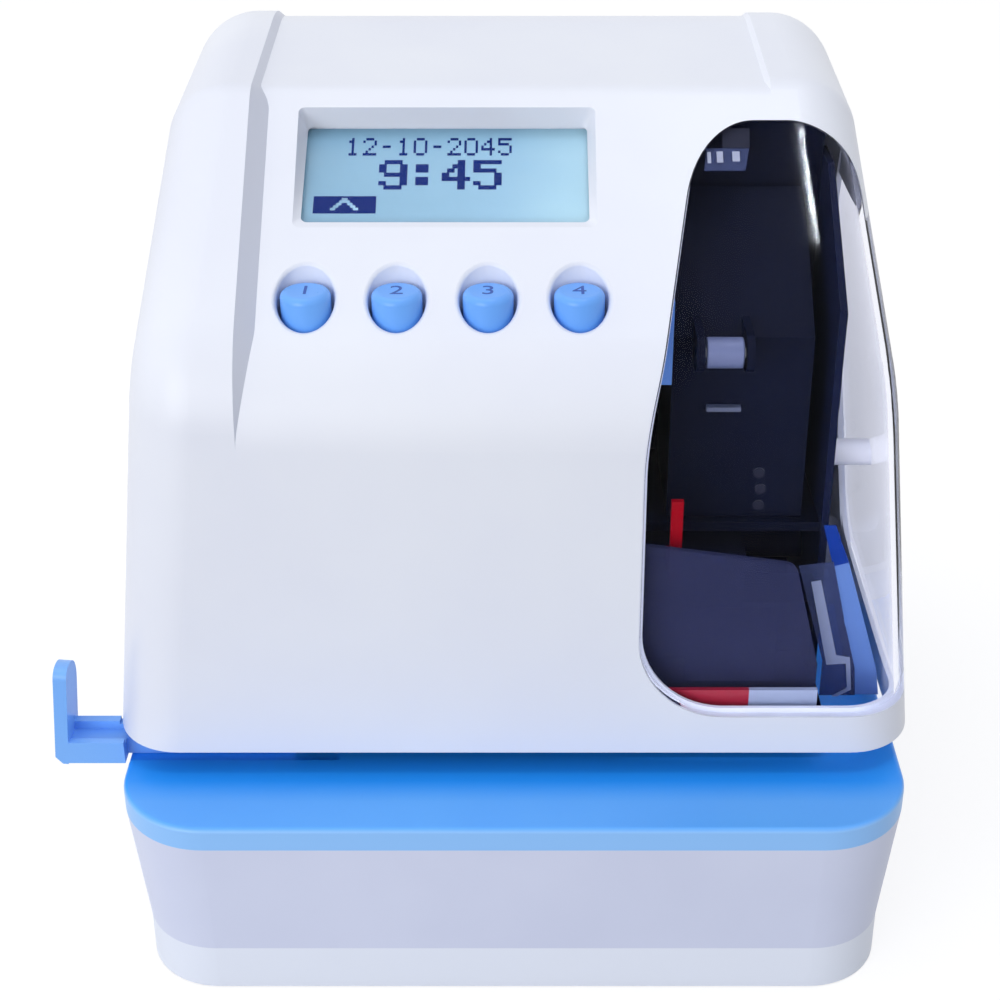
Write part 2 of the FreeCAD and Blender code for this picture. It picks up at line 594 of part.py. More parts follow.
def outer_form():
    """The housing's outside: the plain form with a cheek on each side."""
    cheeks = [
        housing_form(0, panel_up, top_up).common(cheek_region(side, ridge_x, panel_up, top_up))
        for side, ridge_x, panel_up, top_up in (
            (-1, s.left_ridge_x, s.panel_step, s.left_top_step),
            (1, s.right_ridge_x, 0, s.right_top_step),
        )
    ]
    return housing_form(0).fuse(cheeks).removeSplitter()


# Places on the control panel, and on the display's tilted floor


def on_panel(x, along, out=0.0):
    y = s.front_y + s.face_top_y + along * cos(s.panel_slope) - out * sin(s.panel_slope)
    return Vector(x, y, s.face_top + along * sin(s.panel_slope) + out * cos(s.panel_slope))


glass_low = on_panel(-s.lcd_middle_x, s.lcd_low_along + s.lcd_margin, -s.lcd_low_drop)
glass_high = on_panel(
    -s.lcd_middle_x, s.lcd_low_along + s.lcd_along - s.lcd_margin, -s.lcd_top_drop
)
glass_up = (glass_high - glass_low).normalize()
glass_out = Vector(0, -glass_up.z, glass_up.y)
put("glass_length", (glass_high - glass_low).Length, "display floor along its slope")
put("glass_tilt", math.degrees(math.atan2(glass_up.z, glass_up.y)), "display floor from level")
put("glass_width", s.lcd_width - 2 * s.lcd_margin, "display floor, side to side")


def on_glass(x, along, out=0.0):
    return glass_low + Vector(x, 0, 0) + glass_up * along + glass_out * out


def glass_slab(name, past, top, thickness):
    """A plate that lies along the display's floor, reaching past it by the same amount all round."""
    corner = on_glass(-s.glass_width / 2 - past, -past, top - thickness)
    for axis in "xyz":
        put(f"{name}_at_{axis}", getattr(corner, axis), f"low left corner of the {name}")
    put(f"{name}_past", past, f"{name} past the display's floor")
    put(f"{name}_thick", thickness, f"thickness of the {name}")
    doc.recompute()
    size = (f"glass_width + 2 * {name}_past", f"glass_length + 2 * {name}_past", f"{name}_thick")
    at = (f"{name}_at_x", f"{name}_at_y", f"{name}_at_z")
    return box(name, size, at, Rotation(Vector(1, 0, 0), s.glass_tilt))


def display_recess():
    """The sunken place of the display: sloped rims down to a floor that is tilted in the panel."""
    half, low, high = s.lcd_width / 2, s.lcd_low_along, s.lcd_low_along + s.lcd_along
    spots = ((-half, low), (half, low), (half, high), (-half, high))
    rim = rounded_wire([on_panel(x - s.lcd_middle_x, a) for x, a in spots], (s.lcd_corner,) * 4)
    half = s.glass_width / 2
    spots = ((-half, 0), (half, 0), (half, s.glass_length), (-half, s.glass_length))
    floor = rounded_wire([on_glass(x, a) for x, a in spots], (s.lcd_corner,) * 4)
    up = on_panel(0, 0, s.cut_overrun) - on_panel(0, 0)
    return Part.makeLoft([floor, rim], True, True).fuse(Part.Face(rim).extrude(up))


# The window


def window_space(inset):
    """Everything in front of and beside the window's outline, shrunk by an inset."""
    far = s.housing_width
    sill = s.housing_low + s.window_sill
    head = s.crest_top - s.window_head_drop
    side_head = head - s.window_side_drop
    bend = s.face_top - s.window_bend_drop
    front = [Vector(s.window_left, 0, sill), Vector(s.window_left, 0, bend)]
    foot = far / 2 - s.window_foot_inset
    front += [Vector(s.window_head_left, 0, head), Vector(s.window_shoulder_x, 0, head)]
    front += [Vector(foot, 0, side_head), Vector(far, 0, side_head), Vector(far, 0, sill)]
    rounds = (s.window_corner, s.window_bend_round, s.window_head_round, s.window_shoulder_round)
    face = Part.Face(rounded_wire(front, rounds + (s.window_foot_round, 0, 0)))
    ahead = face.makeOffset2D(-inset) if inset else face
    ahead = ahead.extrude(Vector(0, 2 * far, 0))
    ahead.translate(Vector(0, s.front_y - far, 0))
    back = s.front_y + s.window_side_y
    lean_low = side_head - s.window_rear_drop
    slope = s.window_rear_run / s.window_rear_drop
    lean_y = back - slope * (head + s.cut_overrun - lean_low)
    side = [Vector(0, s.front_y - far, sill), Vector(0, back, sill), Vector(0, back, lean_low)]
    side += [Vector(0, lean_y, head + s.cut_overrun), Vector(0, s.front_y - far, head + s.cut_overrun)]
    rounds = (0, s.window_low_round, s.window_rear_round, 0, 0)
    face = Part.Face(rounded_wire(side, rounds))
    beside = face.makeOffset2D(-inset) if inset else face
    return ahead.common(beside.extrude(Vector(far, 0, 0)))


def window_recess():
    """What the window takes out of the housing: a seat for the clear cover, then the opening."""
    seat = window_space(0).cut(housing_form(s.cover_thickness + s.cover_seat))
    return seat.fuse(window_space(s.ledge_width))


def window_cover():
    """The clear cover, which follows the front, the panel and the right side."""
    skin = window_space(s.cover_gap).common(housing_form(0)).cut(housing_form(s.cover_thickness))
    node("window_cover", formed("window_cover", skin))
    inside = formed("catch_space", housing_form(s.cover_thickness))
    at = ("side_plate_x + steel_thickness + catch_gap", "front_y + catch_y", "face_top - catch_drop")
    pin = rod("catch_pin", "catch_radius", "catch_length", at, "x")
    node("cover_catch", overlap("cover_catch", pin, inside))


# The base and what it carries


def base_outline(z, inset=0.0):
    """The base's outline at a height: an upright skirt that flares out to the deck."""
    share = max(0.0, (z - s.skirt_height) / (s.base_height - s.skirt_height))
    grow = s.base_flare * share - inset
    far = s.base_depth / 2 + grow
    corner = s.base_corner + grow
    return plan_outline(s.base_width + 2 * grow, -far, far, corner, corner, z)


def base_form(low, high, inset=0.0):
    """The base between two heights, shrunk by an inset."""
    foot = Part.Face(base_outline(s.skirt_height, inset))
    skirt = foot.extrude(Vector(0, 0, low - s.skirt_height))
    wires = [base_outline(s.skirt_height, inset), base_outline(high, inset)]
    return skirt.fuse(Part.makeLoft(wires, True, True)).removeSplitter()


def screw(name, seat, along, way):
    """A screw whose head sits on a seat, with its shaft along an axis or against it."""
    turn = "xyz".index(along)
    head_at, shaft_at = list(seat), list(seat)
    if way > 0:
        head_at[turn] = f"{seat[turn]} - head_height"
    else:
        shaft_at[turn] = f"{seat[turn]} - screw_length"
    head = rod(name + "_head", "head_radius", "head_height", head_at, along)
    return join(name, head, rod(name + "_shaft", "screw_radius", "screw_length", shaft_at, along))


def screw_hole(name, seat, along, way):
    """The hole of a screw, from in front of its seat to just past its tip."""
    turn = "xyz".index(along)
    at = list(seat)
    at[turn] = f"{seat[turn]} - " + ("cut_overrun" if way > 0 else "(screw_length + screw_play)")
    length = "screw_length + screw_play + cut_overrun"
    return rod(name, "screw_radius + screw_play", length, at, along)


def screws(label, seats, along="z", way=1):
    """A set of equal screws as one node, and the holes that they need."""
    made = [screw(f"{label}_{i}", seat, along, way) for i, seat in enumerate(seats)]
    node(label, group(label, *made))
    return [screw_hole(f"{label}_hole_{i}", seat, along, way) for i, seat in enumerate(seats)]


def four(spread_x, spread_y, z):
    return [(f"{i} * {spread_x}", f"{j} * {spread_y}", z) for i in (-1, 1) for j in (-1, 1)]


def base():
    """The hollow base, closed below by a steel plate with rubber feet."""
    shell = formed("base_outside", base_form(0, s.base_height))
    hollow = formed("base_inside", base_form(-s.cut_overrun, s.base_height - s.base_wall, s.base_wall))
    shell = cut("base_shell", shell, hollow)
    plate_up = "plate_rise + plate_thickness"
    post_spread = "(base_width / 2 - post_inset_x)", "(base_depth / 2 - post_inset_y)"
    high = f"base_height - base_wall - ({plate_up}) + edge_near"
    posts = [
        rod(f"base_post_{i}", "post_radius", high, at)
        for i, at in enumerate(four(*post_spread, plate_up))
    ]
    holes = screws("base_screws", four(*post_spread, "plate_rise"))
    shell = join("base_with_posts", shell, *posts)
    node("base", cut("base", shell, *holes, *deck_holes))

    inset = s.base_wall + s.plate_play
    plate = Part.Face(base_outline(s.plate_rise, inset)).extrude(Vector(0, 0, s.plate_thickness))
    node("base_plate", cut("base_plate", formed("base_plate_blank", plate), *holes))
    foot_spread = "(base_width / 2 - foot_inset_x)", "(base_depth / 2 - foot_inset_y)"
    feet = [
        rod(f"foot_{i}", "foot_radius", "plate_rise", at)
        for i, at in enumerate(four(*foot_spread, "0"))
    ]
    node("rubber_feet", group("rubber_feet", *feet))


def paper_table():
    """The table that the paper lies on, with the channel of the paper guide and a rubber platen."""
    corner = s.base_corner + s.base_flare
    front = -s.base_depth / 2 - s.base_flare
    back = s.throat_back - s.table_play
    outline = plan_outline(2 * s.table_half, front, back, corner, s.table_round, s.base_height)
    slab_form = Part.Face(outline).extrude(Vector(0, 0, s.table_thickness))
    top = [e for e in slab_form.Edges if min(v.Point.z for v in e.Vertexes) > s.base_height]
    blank = formed("table_blank", slab_form.makeFillet(s.table_round, top))
    length = "table_half - arm_inner_x + guide_in + channel_play"
    channel = box(
        "guide_channel",
        (length, "arm_depth + 2 * channel_play", "table_thickness"),
        ("-table_half", "front_y + arm_y - channel_play", "table_top - channel_depth"),
    )
    pad_size = ("platen_length", "platen_width", "platen_depth")
    middle = ("slot_left_x + slot_length / 2", "front_y + slot_y + slot_depth / 2")
    pad = slab("platen_pad", pad_size, middle, "table_top - platen_depth")
    node("platen_pad", pad)
    node("paper_table", cut("paper_table", blank, channel, pad))


def paper_guide():
    """The sliding guide: a fence beyond the table's left edge, on an arm that reaches the throat."""
    low, front = s.table_top - s.channel_depth + s.guide_play, s.front_y + s.arm_y
    high, back = s.table_top + s.fence_height, front + s.fence_depth
    corners = ((front, low), (back, low), (back, high), (front, high))
    rounds = (0, 0, s.fence_round, s.fence_nose)
    left = -s.fence_x
    fence = side_solid(corners, rounds, left, left + s.fence_thickness)
    edge = min(fence.Edges, key=lambda e: (e.CenterOfMass - Vector(left, (front + back) / 2, low)).Length)
    fence = fence.makeChamfer(s.fence_chamfer, [edge])
    fence.rotate(Vector(left, front, low), Vector(0, 1, 0), s.fence_lean)
    start = "-fence_x + fence_thickness - edge_near"
    at = (start, "front_y + arm_y", "table_top - channel_depth + guide_play")
    arm = box("guide_arm", (f"-arm_inner_x - ({start})", "arm_depth", "arm_height"), at)
    rib_y = "front_y + arm_y + arm_depth - rib_thickness"
    rib_size = (f"-rib_inner_x - ({start})", "rib_thickness", "arm_height + rib_height")
    rib = box("guide_rib", rib_size, (start, rib_y, at[2]))
    tray_size = ("fence_x", "arm_depth - rib_thickness - lip_thickness", "arm_height")
    tray_z = f"{at[2]} + arm_height - floor_drop"
    tray_at = ("-fence_x + fence_thickness", "front_y + arm_y + lip_thickness", tray_z)
    tray = box("guide_tray", tray_size, tray_at)
    step_size = ("table_half", "arm_step_depth", "2 * arm_height")
    step = box("guide_step", step_size, ("-table_half - arm_step_past", at[1], f"{at[2]} - guide_play"))
    arm = cut("guide_arm_open", arm, tray, step)
    node("paper_guide", join("paper_guide", formed("guide_fence", fence), arm, rib))


# The housing


def button_places():
    return [f"{i} * button_pitch - button_first_x" for i in range(4)]


def drilled_outside():
    """The housing's outside with its four button holes, whose edges are rounded."""
    solid = outer_form()
    for i in range(4):
        foot = Vector(i * s.button_pitch - s.button_first_x, s.button_y, s.tube_low - s.cut_overrun)
        solid = solid.cut(Part.makeCylinder(s.hole_radius, s.base_depth, foot))
    rims = [e for e in solid.Edges if e.isClosed() and e.CenterOfMass.z > s.face_top]
    return solid.makeFillet(s.hole_round, rims)


def housing_bosses():
    """Screw bosses that stand on the deck, as their middles in X and Y."""
    return [
        (f"{side} * boss_x", f"front_y + {back}", "base_height")
        for side in (-1, 1)
        for back in ("boss_front_y", "boss_back_y")
    ]


def housing():
    """The upper shell, with everything that is moulded into it."""
    far = "housing_width"
    kept = [
        rod(f"tube_{i}", "hole_radius + tube_wall", far, (x, "button_y", "tube_low"))
        for i, x in enumerate(button_places())
    ]
    kept += [
        rod(f"keypad_post_{i}", "keypad_post_radius", far, at) for i, at in enumerate(keypad_posts)
    ]
    kept += [
        rod(f"boss_{i}", "boss_radius", "boss_height", at) for i, at in enumerate(housing_bosses())
    ]
    wall_size = (f"2 * {far}", "housing_wall", "plate_top - plate_lift - base_height + cut_overrun")
    kept.append(box("throat_wall", wall_size, (f"-{far}", "throat_back", "base_height - cut_overrun")))
    depth = s.lens_thickness + s.lens_play + s.module_height
    reach = s.lcd_top_drop + s.cut_overrun
    past = s.lens_lap + s.lens_play
    kept.append(glass_slab("collar", past + s.lcd_collar, reach, depth + reach))
    hollow = cut("housing_inside", formed("housing_cavity", housing_form(s.housing_wall)), *kept)

    throat = (f"2 * {far}", f"throat_depth + {far}", "base_height")
    throat = box("throat_space", throat, (f"-{far}", f"front_y - {far}", "housing_low - base_height"))
    inlet = rod("inlet_hole", "inlet_nose_radius + inlet_play", "inlet_depth", inlet_nose_at, "y")
    tools = [
        hollow,
        throat,
        inlet,
        glass_slab("lens_seat", past, 0, depth + s.cut_overrun),
        formed("display_recess", display_recess()),
        formed("window_recess", window_recess()),
    ]
    outside = formed("housing_outside", drilled_outside())
    node("housing", cut("housing", outside, *tools, *deck_holes, *keypad_holes))


def display():
    """The display: a lens under the recess, the module behind it and its board."""
    lens = s.lens_thickness
    node("lcd_lens", glass_slab("lcd_lens", s.lens_lap, 0, lens))
    node("lcd_module", glass_slab("lcd_module", s.lens_lap, -lens - s.lens_play, s.module_height))
    back = -lens - s.lens_play - s.module_height
    past = s.lens_lap + s.lens_play + s.lcd_collar
    node("lcd_board", glass_slab("lcd_board", past + s.board_margin, back, s.board_thickness))


def turned(name, corners, rounds):
    """A solid turned about the Z axis, from an outline in radius and height."""
    outline = rounded_wire([Vector(r, 0, z) for r, z in corners], rounds)
    return formed(name, Part.Face(outline).revolve(Vector(), Vector(0, 0, 1), 360))


def keypad():
    """Four buttons with their tact switches on one board."""
    ring_low, ring_high = s.flange_height, s.flange_height + s.ring_height
    corners = [(0, 0), (s.flange_radius, 0), (s.flange_radius, ring_low), (s.ring_radius, ring_low)]
    corners += [(s.ring_radius, ring_high), (s.button_radius, ring_high)]
    corners += [(s.button_radius, s.button_length), (0, s.button_length)]
    rounds = (0, 0, 0, 0, 0, 0, s.button_round, 0)
    switches = []
    for i, x in enumerate(button_places()):
        button = turned(f"button_{i + 1}", corners, rounds)
        node(f"button_{i + 1}", place(button, (x, "button_y", "button_low")))
        size = ("switch_side", "switch_side", "switch_body")
        body = slab(f"switch_body_{i}", size, (x, "button_y"), "keypad_top")
        at = (x, "button_y", "keypad_top")
        plunger = rod(f"switch_stem_{i}", "switch_stem_radius", "switch_height", at)
        switches.append(join(f"switch_{i}", body, plunger))
    node("tact_switches", group("tact_switches", *switches))
    size = ("keypad_width", "keypad_depth", "board_thickness")
    at = (
        "1.5 * button_pitch - button_first_x - keypad_width / 2",
        "button_y - keypad_front",
        "keypad_top - board_thickness",
    )
    node("keypad_board", cut("keypad_board", box("keypad_blank", size, at), *keypad_holes))


# The mechanism


def throat_plate():
    """The plate over the throat, with the print opening, and what stands on it."""
    left = "-(side_plate_x + steel_thickness + throat_plate_past)"
    width = f"side_plate_x + steel_thickness - {left}"
    size = (width, "throat_plate_depth", "throat_plate_thickness")
    blank = box("throat_blank", size, (left, "front_y + throat_plate_y", "plate_low"))
    slot_size = ("slot_length", "slot_depth", "2 * cut_overrun")
    slot = box("print_slot", slot_size, ("slot_left_x", "front_y + slot_y", "plate_low - cut_overrun"))
    node("throat_plate", cut("throat_plate", blank, slot))
    size = ("sensor_width", "sensor_depth", "sensor_height")
    node("paper_sensor", box("paper_sensor", size, ("-sensor_x", "front_y + sensor_y", "plate_top")))
    for label, left, right in (
        ("print_marker_red", "marker_left_x", "marker_join_x"),
        ("print_marker_grey", "marker_join_x", "marker_right_x"),
    ):
        size = (f"{right} - {left}", "marker_thickness", "marker_height")
        node(label, box(label, size, (left, "front_y + throat_plate_y", "plate_top")))
    corners = (
        (s.shield_left_x, s.plate_top),
        (s.shield_low_x, s.plate_top),
        (s.shield_low_x, s.plate_top + s.shield_low_rise),
        (s.shield_right_x, s.plate_top + s.shield_right_rise),
        (s.shield_left_x, s.plate_top + s.shield_left_rise),
    )
    low = s.front_y + s.shield_y
    shield = front_solid(corners, (0, 0, 0, s.shield_round, 0), low, low + s.shield_thickness)
    node("smoked_shield", formed("smoked_shield", shield))


def shaft_rods(name, extra):
    """The two guide shafts, from one side plate's outer face to the other's."""
    radius, length = f"shaft_radius + {extra}", "2 * (side_plate_x + steel_thickness)"
    start = "-side_plate_x - steel_thickness"
    places = [(start, f"front_y + {y}", "shaft_z") for y in ("shaft_front_y", "shaft_back_y")]
    return [rod(f"{name}_{i}", radius, length, at, "x") for i, at in enumerate(places)]


def chassis():
    """Two side plates and a back plate, which carry the guide shafts, the motor and the boards."""
    fit = formed("chassis_fit", housing_form(s.housing_wall + s.bay_clear))
    depth = "rear_plate_y + steel_thickness - side_plate_y"
    size = ("steel_thickness", depth, "side_plate_height")
    bores = shaft_rods("shaft_bore", "shaft_play")
    for label, x in (
        ("left_side_plate", "-side_plate_x - steel_thickness"),
        ("right_side_plate", "side_plate_x"),
    ):
        blank = box(label + "_blank", size, (x, "front_y + side_plate_y", "plate_top"))
        node(label, cut(label, overlap(label + "_fitted", blank, fit), *bores))
    node("guide_shafts", group("guide_shafts", *shaft_rods("guide_shaft", "0")))

    at = ("-side_plate_x", "front_y + rear_plate_y", "plate_top")
    upright = box("rear_upright", ("2 * side_plate_x", "steel_thickness", "rear_plate_height"), at)
    flange = box("rear_flange", ("2 * side_plate_x", "flange_depth", "steel_thickness"), at)
    post_size = ("pillar_width", "pillar_depth", "plate_top - base_height")
    posts = [slab(f"post_{i}", post_size, at, "base_height") for i, at in enumerate(pillars)]
    seats = [(x, f"{y} + pillar_depth / 4", "plate_top + steel_thickness") for x, y in pillars]
    holes = screws("chassis_screws", seats, "z", -1)
    drilled = [
        cut(f"post_{i}_drilled", post, deck_holes[i], holes[i]) for i, post in enumerate(posts)
    ]
    node("chassis_posts", group("chassis_posts", *drilled))
    motor_hole = rod("motor_hole", "axle_radius + belt_gap", "2 * cut_overrun", axle_at("-drive_x"), "y")
    idler_hole = rod("idler_hole", "axle_radius", "idler_length", axle_at("idler_x"), "y")
    plate = join("rear_plate_blank", upright, flange)
    node("rear_plate", cut("rear_plate", plate, *holes, motor_hole, idler_hole))


def axle_at(x, ahead="pulley_lead"):
    return x, f"front_y + pulley_y - {ahead}", "shaft_z"


def belt_ring(name, radius, width, front):
    """A closed band round both pulleys, filled: its ends are as wide as the pulleys."""
    ends = [
        rod(f"{name}_{i}", radius, width, (x, front, "shaft_z"), "y")
        for i, x in enumerate(("-drive_x", "idler_x"))
    ]
    size = ("drive_x + idler_x", width, f"2 * ({radius})")
    return join(name, *ends, box(name + "_middle", size, ("-drive_x", front, f"shaft_z - ({radius})")))


def pulley(label, x):
    """A toothed pulley with a flange at its back."""
    teeth = Part.makeCylinder(s.pulley_radius, s.pulley_width)
    count = int(s.pulley_teeth)
    gaps = []
    for i in range(count):
        turn = 2 * math.pi * i / count
        spot = Vector(s.pulley_radius * math.cos(turn), s.pulley_radius * math.sin(turn), -s.cut_overrun)
        gaps.append(Part.makeCylinder(s.tooth_depth, s.pulley_width + s.cut_overrun, spot))
    wheel = teeth.cut(gaps)
    flange_radius = s.pulley_radius + s.belt_gap + s.belt_thickness
    wheel = wheel.fuse(Part.makeCylinder(flange_radius, s.pulley_flange, Vector(0, 0, s.pulley_width)))
    bore_radius = s.axle_radius + (0 if label == "drive_pulley" else s.axle_play)
    bore = Part.makeCylinder(bore_radius, s.cut_overrun + s.pulley_width + s.pulley_flange)
    made = formed(label, wheel.cut(bore).removeSplitter())
    node(label, place(made, (x, "front_y + pulley_y", "shaft_z"), TURNS["y"]))


def belt_drive():
    """Motor, pulleys and the toothed belt that pulls the carriage."""
    pulley("drive_pulley", "-drive_x")
    pulley("idler_pulley", "idler_x")
    node("idler_axle", rod("idler_axle", "axle_radius", "idler_length", axle_at("idler_x"), "y"))
    shaft = rod("motor_shaft", "axle_radius", "idler_length + shaft_tail", axle_at("-drive_x"), "y")
    node("motor_shaft", shaft)
    back = ("-drive_x", "front_y + rear_plate_y + steel_thickness", "shaft_z")
    can = rod("motor_can", "motor_radius", "motor_length", back, "y")
    bore_at = ("-drive_x", "front_y + rear_plate_y", "shaft_z")
    depth = "shaft_tail + steel_thickness + axle_play"
    bore = rod("motor_bore", "axle_radius + axle_play", depth, bore_at, "y")
    node("carriage_motor", cut("carriage_motor", can, bore))
    width = "pulley_width - 2 * belt_gap"
    front = "front_y + pulley_y + belt_gap"
    inner = belt_ring("belt_inside", "pulley_radius + belt_gap", "pulley_width", "front_y + pulley_y")
    outer = belt_ring("belt_outside", "pulley_radius + belt_gap + belt_thickness", width, front)
    node("timing_belt", cut("timing_belt", outer, inner))


def carriage():
    """The print carriage with its head and the red pointer, at the print position."""
    left = "carriage_x - carriage_width / 2"
    low = "plate_top + carriage_lift"
    size = ("carriage_width", "carriage_depth", "carriage_height")
    block = box("carriage_block", size, (left, "front_y + carriage_y", low))
    clamp_y = "front_y + carriage_y + carriage_depth - clamp_root"
    clamp_depth = "pulley_y + pulley_width - carriage_y - carriage_depth + clamp_root"
    clamp_size = ("clamp_width", clamp_depth, "clamp_height")
    clamp_z = "shaft_z + pulley_radius + belt_gap + belt_thickness + belt_gap"
    clamp = box("belt_clamp", clamp_size, ("carriage_x - clamp_width / 2", clamp_y, clamp_z))
    bores = shaft_rods("carriage_bore", "carriage_play")
    node("print_carriage", cut("print_carriage", join("carriage_blank", block, clamp), *bores))

    middle = ("carriage_x", "front_y + slot_y + slot_depth / 2")
    body_size = ("head_width", "head_depth", "carriage_lift - nose_lift - nose_height")
    body = slab("head_body", body_size, middle, "plate_top + nose_lift + nose_height")
    nose_size = ("nose_width", "head_depth", "nose_height + edge_near")
    nose = slab("head_nose", nose_size, middle, "plate_top + nose_lift")
    node("print_head", join("print_head", body, nose))

    x = "carriage_x - pointer_offset - pointer_width / 2"
    at = (x, "front_y + pointer_y", "carriage_top")
    upright = box("pointer_upright", ("pointer_width", "pointer_thickness", "pointer_height"), at)
    foot_size = ("pointer_width", "carriage_y + clamp_root - pointer_y", "pointer_thickness")
    node("position_pointer", join("position_pointer", upright, box("pointer_foot", foot_size, at)))


def ribbon_bay():
    """The dark bay that holds the ribbon cassette above the carriage."""
    top = "crest_top"
    floor_z = "plate_top + bay_lift - bay_wall"
    width = "side_plate_x - bay_left_x"
    depth = "bay_back_y + bay_wall - bay_front_y"
    floor_at = ("bay_left_x", "front_y + bay_front_y", floor_z)
    floor = box("bay_floor", (width, depth, "bay_wall"), floor_at)
    left = box("bay_left", ("bay_wall", depth, top), floor_at)
    back_at = ("bay_left_x", "front_y + bay_back_y", floor_z)
    back = box("bay_back", (width, "bay_wall", top), back_at)
    front_size = ("bay_wall", "bay_front_y + edge_near", top)
    front_at = ("bay_left_x", "front_y", "carriage_top + pointer_height + pointer_clear")
    front = box("bay_front", front_size, front_at)
    fit = formed("bay_fit", housing_form(s.housing_wall + s.bay_clear))
    node("ribbon_bay", overlap("ribbon_bay", join("bay_blank", floor, left, back, front), fit))


def ribbon_cassette():
    """The ribbon cassette, with the knob that takes up slack ribbon."""
    low = "plate_top + bay_lift + cassette_seat"
    size = ("cassette_right_x - cassette_left_x", "cassette_back_y - cassette_y", "crest_top")
    block = box("cassette_block", size, ("cassette_left_x", "front_y + cassette_y", low))
    fit = formed("cassette_fit", housing_form(s.housing_wall + s.cassette_clear))
    block = overlap("cassette_body", block, fit)
    axis_y, axis_z = "front_y + knob_y", "plate_top + knob_rise"
    ears = []
    places = "knob_left_x - ear_play - ear_thickness", "knob_left_x + knob_length + ear_play"
    for i, x in enumerate(places):
        disc = rod(f"ear_disc_{i}", "ear_radius", "ear_thickness", (x, axis_y, axis_z), "x")
        size = ("ear_thickness", "cassette_y + ear_root - knob_y", "2 * ear_radius")
        arm = box(f"ear_arm_{i}", size, (x, axis_y, f"{axis_z} - ear_radius"))
        ears += [disc, arm]
    start = "knob_left_x - ear_play - ear_thickness"
    length = "knob_length + 2 * (ear_play + ear_thickness)"
    bore = rod("spindle_bore", "spindle_radius + spindle_play", length, (start, axis_y, axis_z), "x")
    node("ribbon_cassette", cut("ribbon_cassette", join("cassette_blank", block, *ears), bore))
    spindle = rod("knob_spindle", "spindle_radius", length, (start, axis_y, axis_z), "x")
    node("knob_spindle", spindle)

    wheel = Part.makeCylinder(s.knob_radius, s.knob_length)
    wheel = wheel.makeFillet(s.knob_round, [e for e in wheel.Edges if e.isClosed()])
    wheel = wheel.cut(Part.makeCylinder(s.spindle_radius, s.knob_length))
    knob = place(formed("ribbon_knob", wheel), ("knob_left_x", axis_y, axis_z), TURNS["x"])
    node("ribbon_knob", knob)

    at = ("knob_left_x + bar_shift", "front_y + cassette_y - bar_depth", "plate_top + bar_rise")
    node("cassette_latch", box("cassette_latch", ("bar_length", "bar_depth", "bar_height"), at))
    left, right = s.tab_left_x, s.cassette_left_x
    low, high = s.plate_top + s.tab_rise, s.plate_top + s.tab_rise + s.tab_height
    corners = ((left, low), (right, low), (right, high), (left, high))
    front = s.front_y + s.cassette_y
    tab = front_solid(corners, (s.tab_round, 0, 0, s.tab_round), front, front + s.tab_thickness)
    node("cassette_tab", formed("cassette_tab", tab))
    size = ("slot_length + 2 * ribbon_lap", "ribbon_width", "ribbon_thickness")
    middle = ("slot_left_x + slot_length / 2", "front_y + slot_y + slot_depth / 2")
    node("ink_ribbon", slab("ink_ribbon", size, middle, "plate_top"))


# Boards and power


def main_board():
    """The main board behind the chassis, with its largest parts."""
    front = "front_y + rear_plate_y + steel_thickness"
    back = f"{front} + spacer_length + board_thickness"
    low = "plate_top + mainboard_rise"
    places = [
        (f"{i} * (mainboard_width / 2 - spacer_inset)", f"{low} + {z}")
        for i in (-1, 1)
        for z in ("spacer_inset", "mainboard_height - spacer_inset")
    ]
    holes = screws("board_screws", [(x, back, z) for x, z in places], "y", -1)
    spacers = [
        rod(f"spacer_{i}", "spacer_radius", "spacer_length", (x, front, z), "y")
        for i, (x, z) in enumerate(places)
    ]
    spacers = [cut(f"spacer_{i}_drilled", one, holes[i]) for i, one in enumerate(spacers)]
    node("board_spacers", group("board_spacers", *spacers))
    size = ("mainboard_width", "board_thickness", "mainboard_height")
    blank = box("main_board_blank", size, ("-mainboard_width / 2", f"{front} + spacer_length", low))
    node("main_board", cut("main_board", blank, *holes))
    middle = f"{low} + mainboard_height / 2"
    at = ("-chip_side / 2", back, f"{middle} - chip_side / 2")
    node("processor", box("processor", ("chip_side", "chip_height", "chip_side"), at))
    cell = rod("backup_battery", "cell_radius", "cell_height", ("parts_x", back, middle), "y")
    node("backup_battery", cell)
    node("buzzer", rod("buzzer", "buzzer_radius", "buzzer_height", ("-parts_x", back, middle), "y"))


def power_inlet():
    """The low-voltage inlet at the back, without its lead."""
    size = ("inlet_width", "inlet_depth", "inlet_height")
    at = ("inlet_x - inlet_width / 2", f"{inlet_nose_at[1]} - inlet_depth", "base_height")
    body = box("inlet_body", size, at)
    nose = rod("inlet_nose", "inlet_nose_radius", "inlet_nose_length", inlet_nose_at, "y")
    deep = ("inlet_x", f"{inlet_nose_at[1]} + inlet_nose_length - inlet_bore_depth", inlet_nose_at[2])
    bore = rod("inlet_bore", "inlet_bore_radius", "inlet_depth", deep, "y")
    node("power_inlet", cut("power_inlet", join("inlet_blank", body, nose), bore))
    node("inlet_pin", rod("inlet_pin", "inlet_pin_radius", "inlet_pin_length", deep, "y"))


# Places that more than one piece uses
pillars = [(f"{side} * pillar_x", "front_y + pillar_y + pillar_depth / 2") for side in (-1, 1)]
deck_seats = [(x, f"{y} - pillar_depth / 4", "base_height - base_wall") for x, y in pillars]
deck_seats += [(x, y, "base_height - base_wall") for x, y, z in housing_bosses()]
keypad_posts = [
    (f"(1.5 + {i}) * button_pitch - button_first_x", "button_y + keypad_post_back", "keypad_top")
    for i in (-1, 1)
]
keypad_seats = [(x, y, "keypad_top - board_thickness") for x, y, z in keypad_posts]
inlet_nose_at = ("inlet_x", "front_y + inlet_y", "base_height + inlet_height / 2")

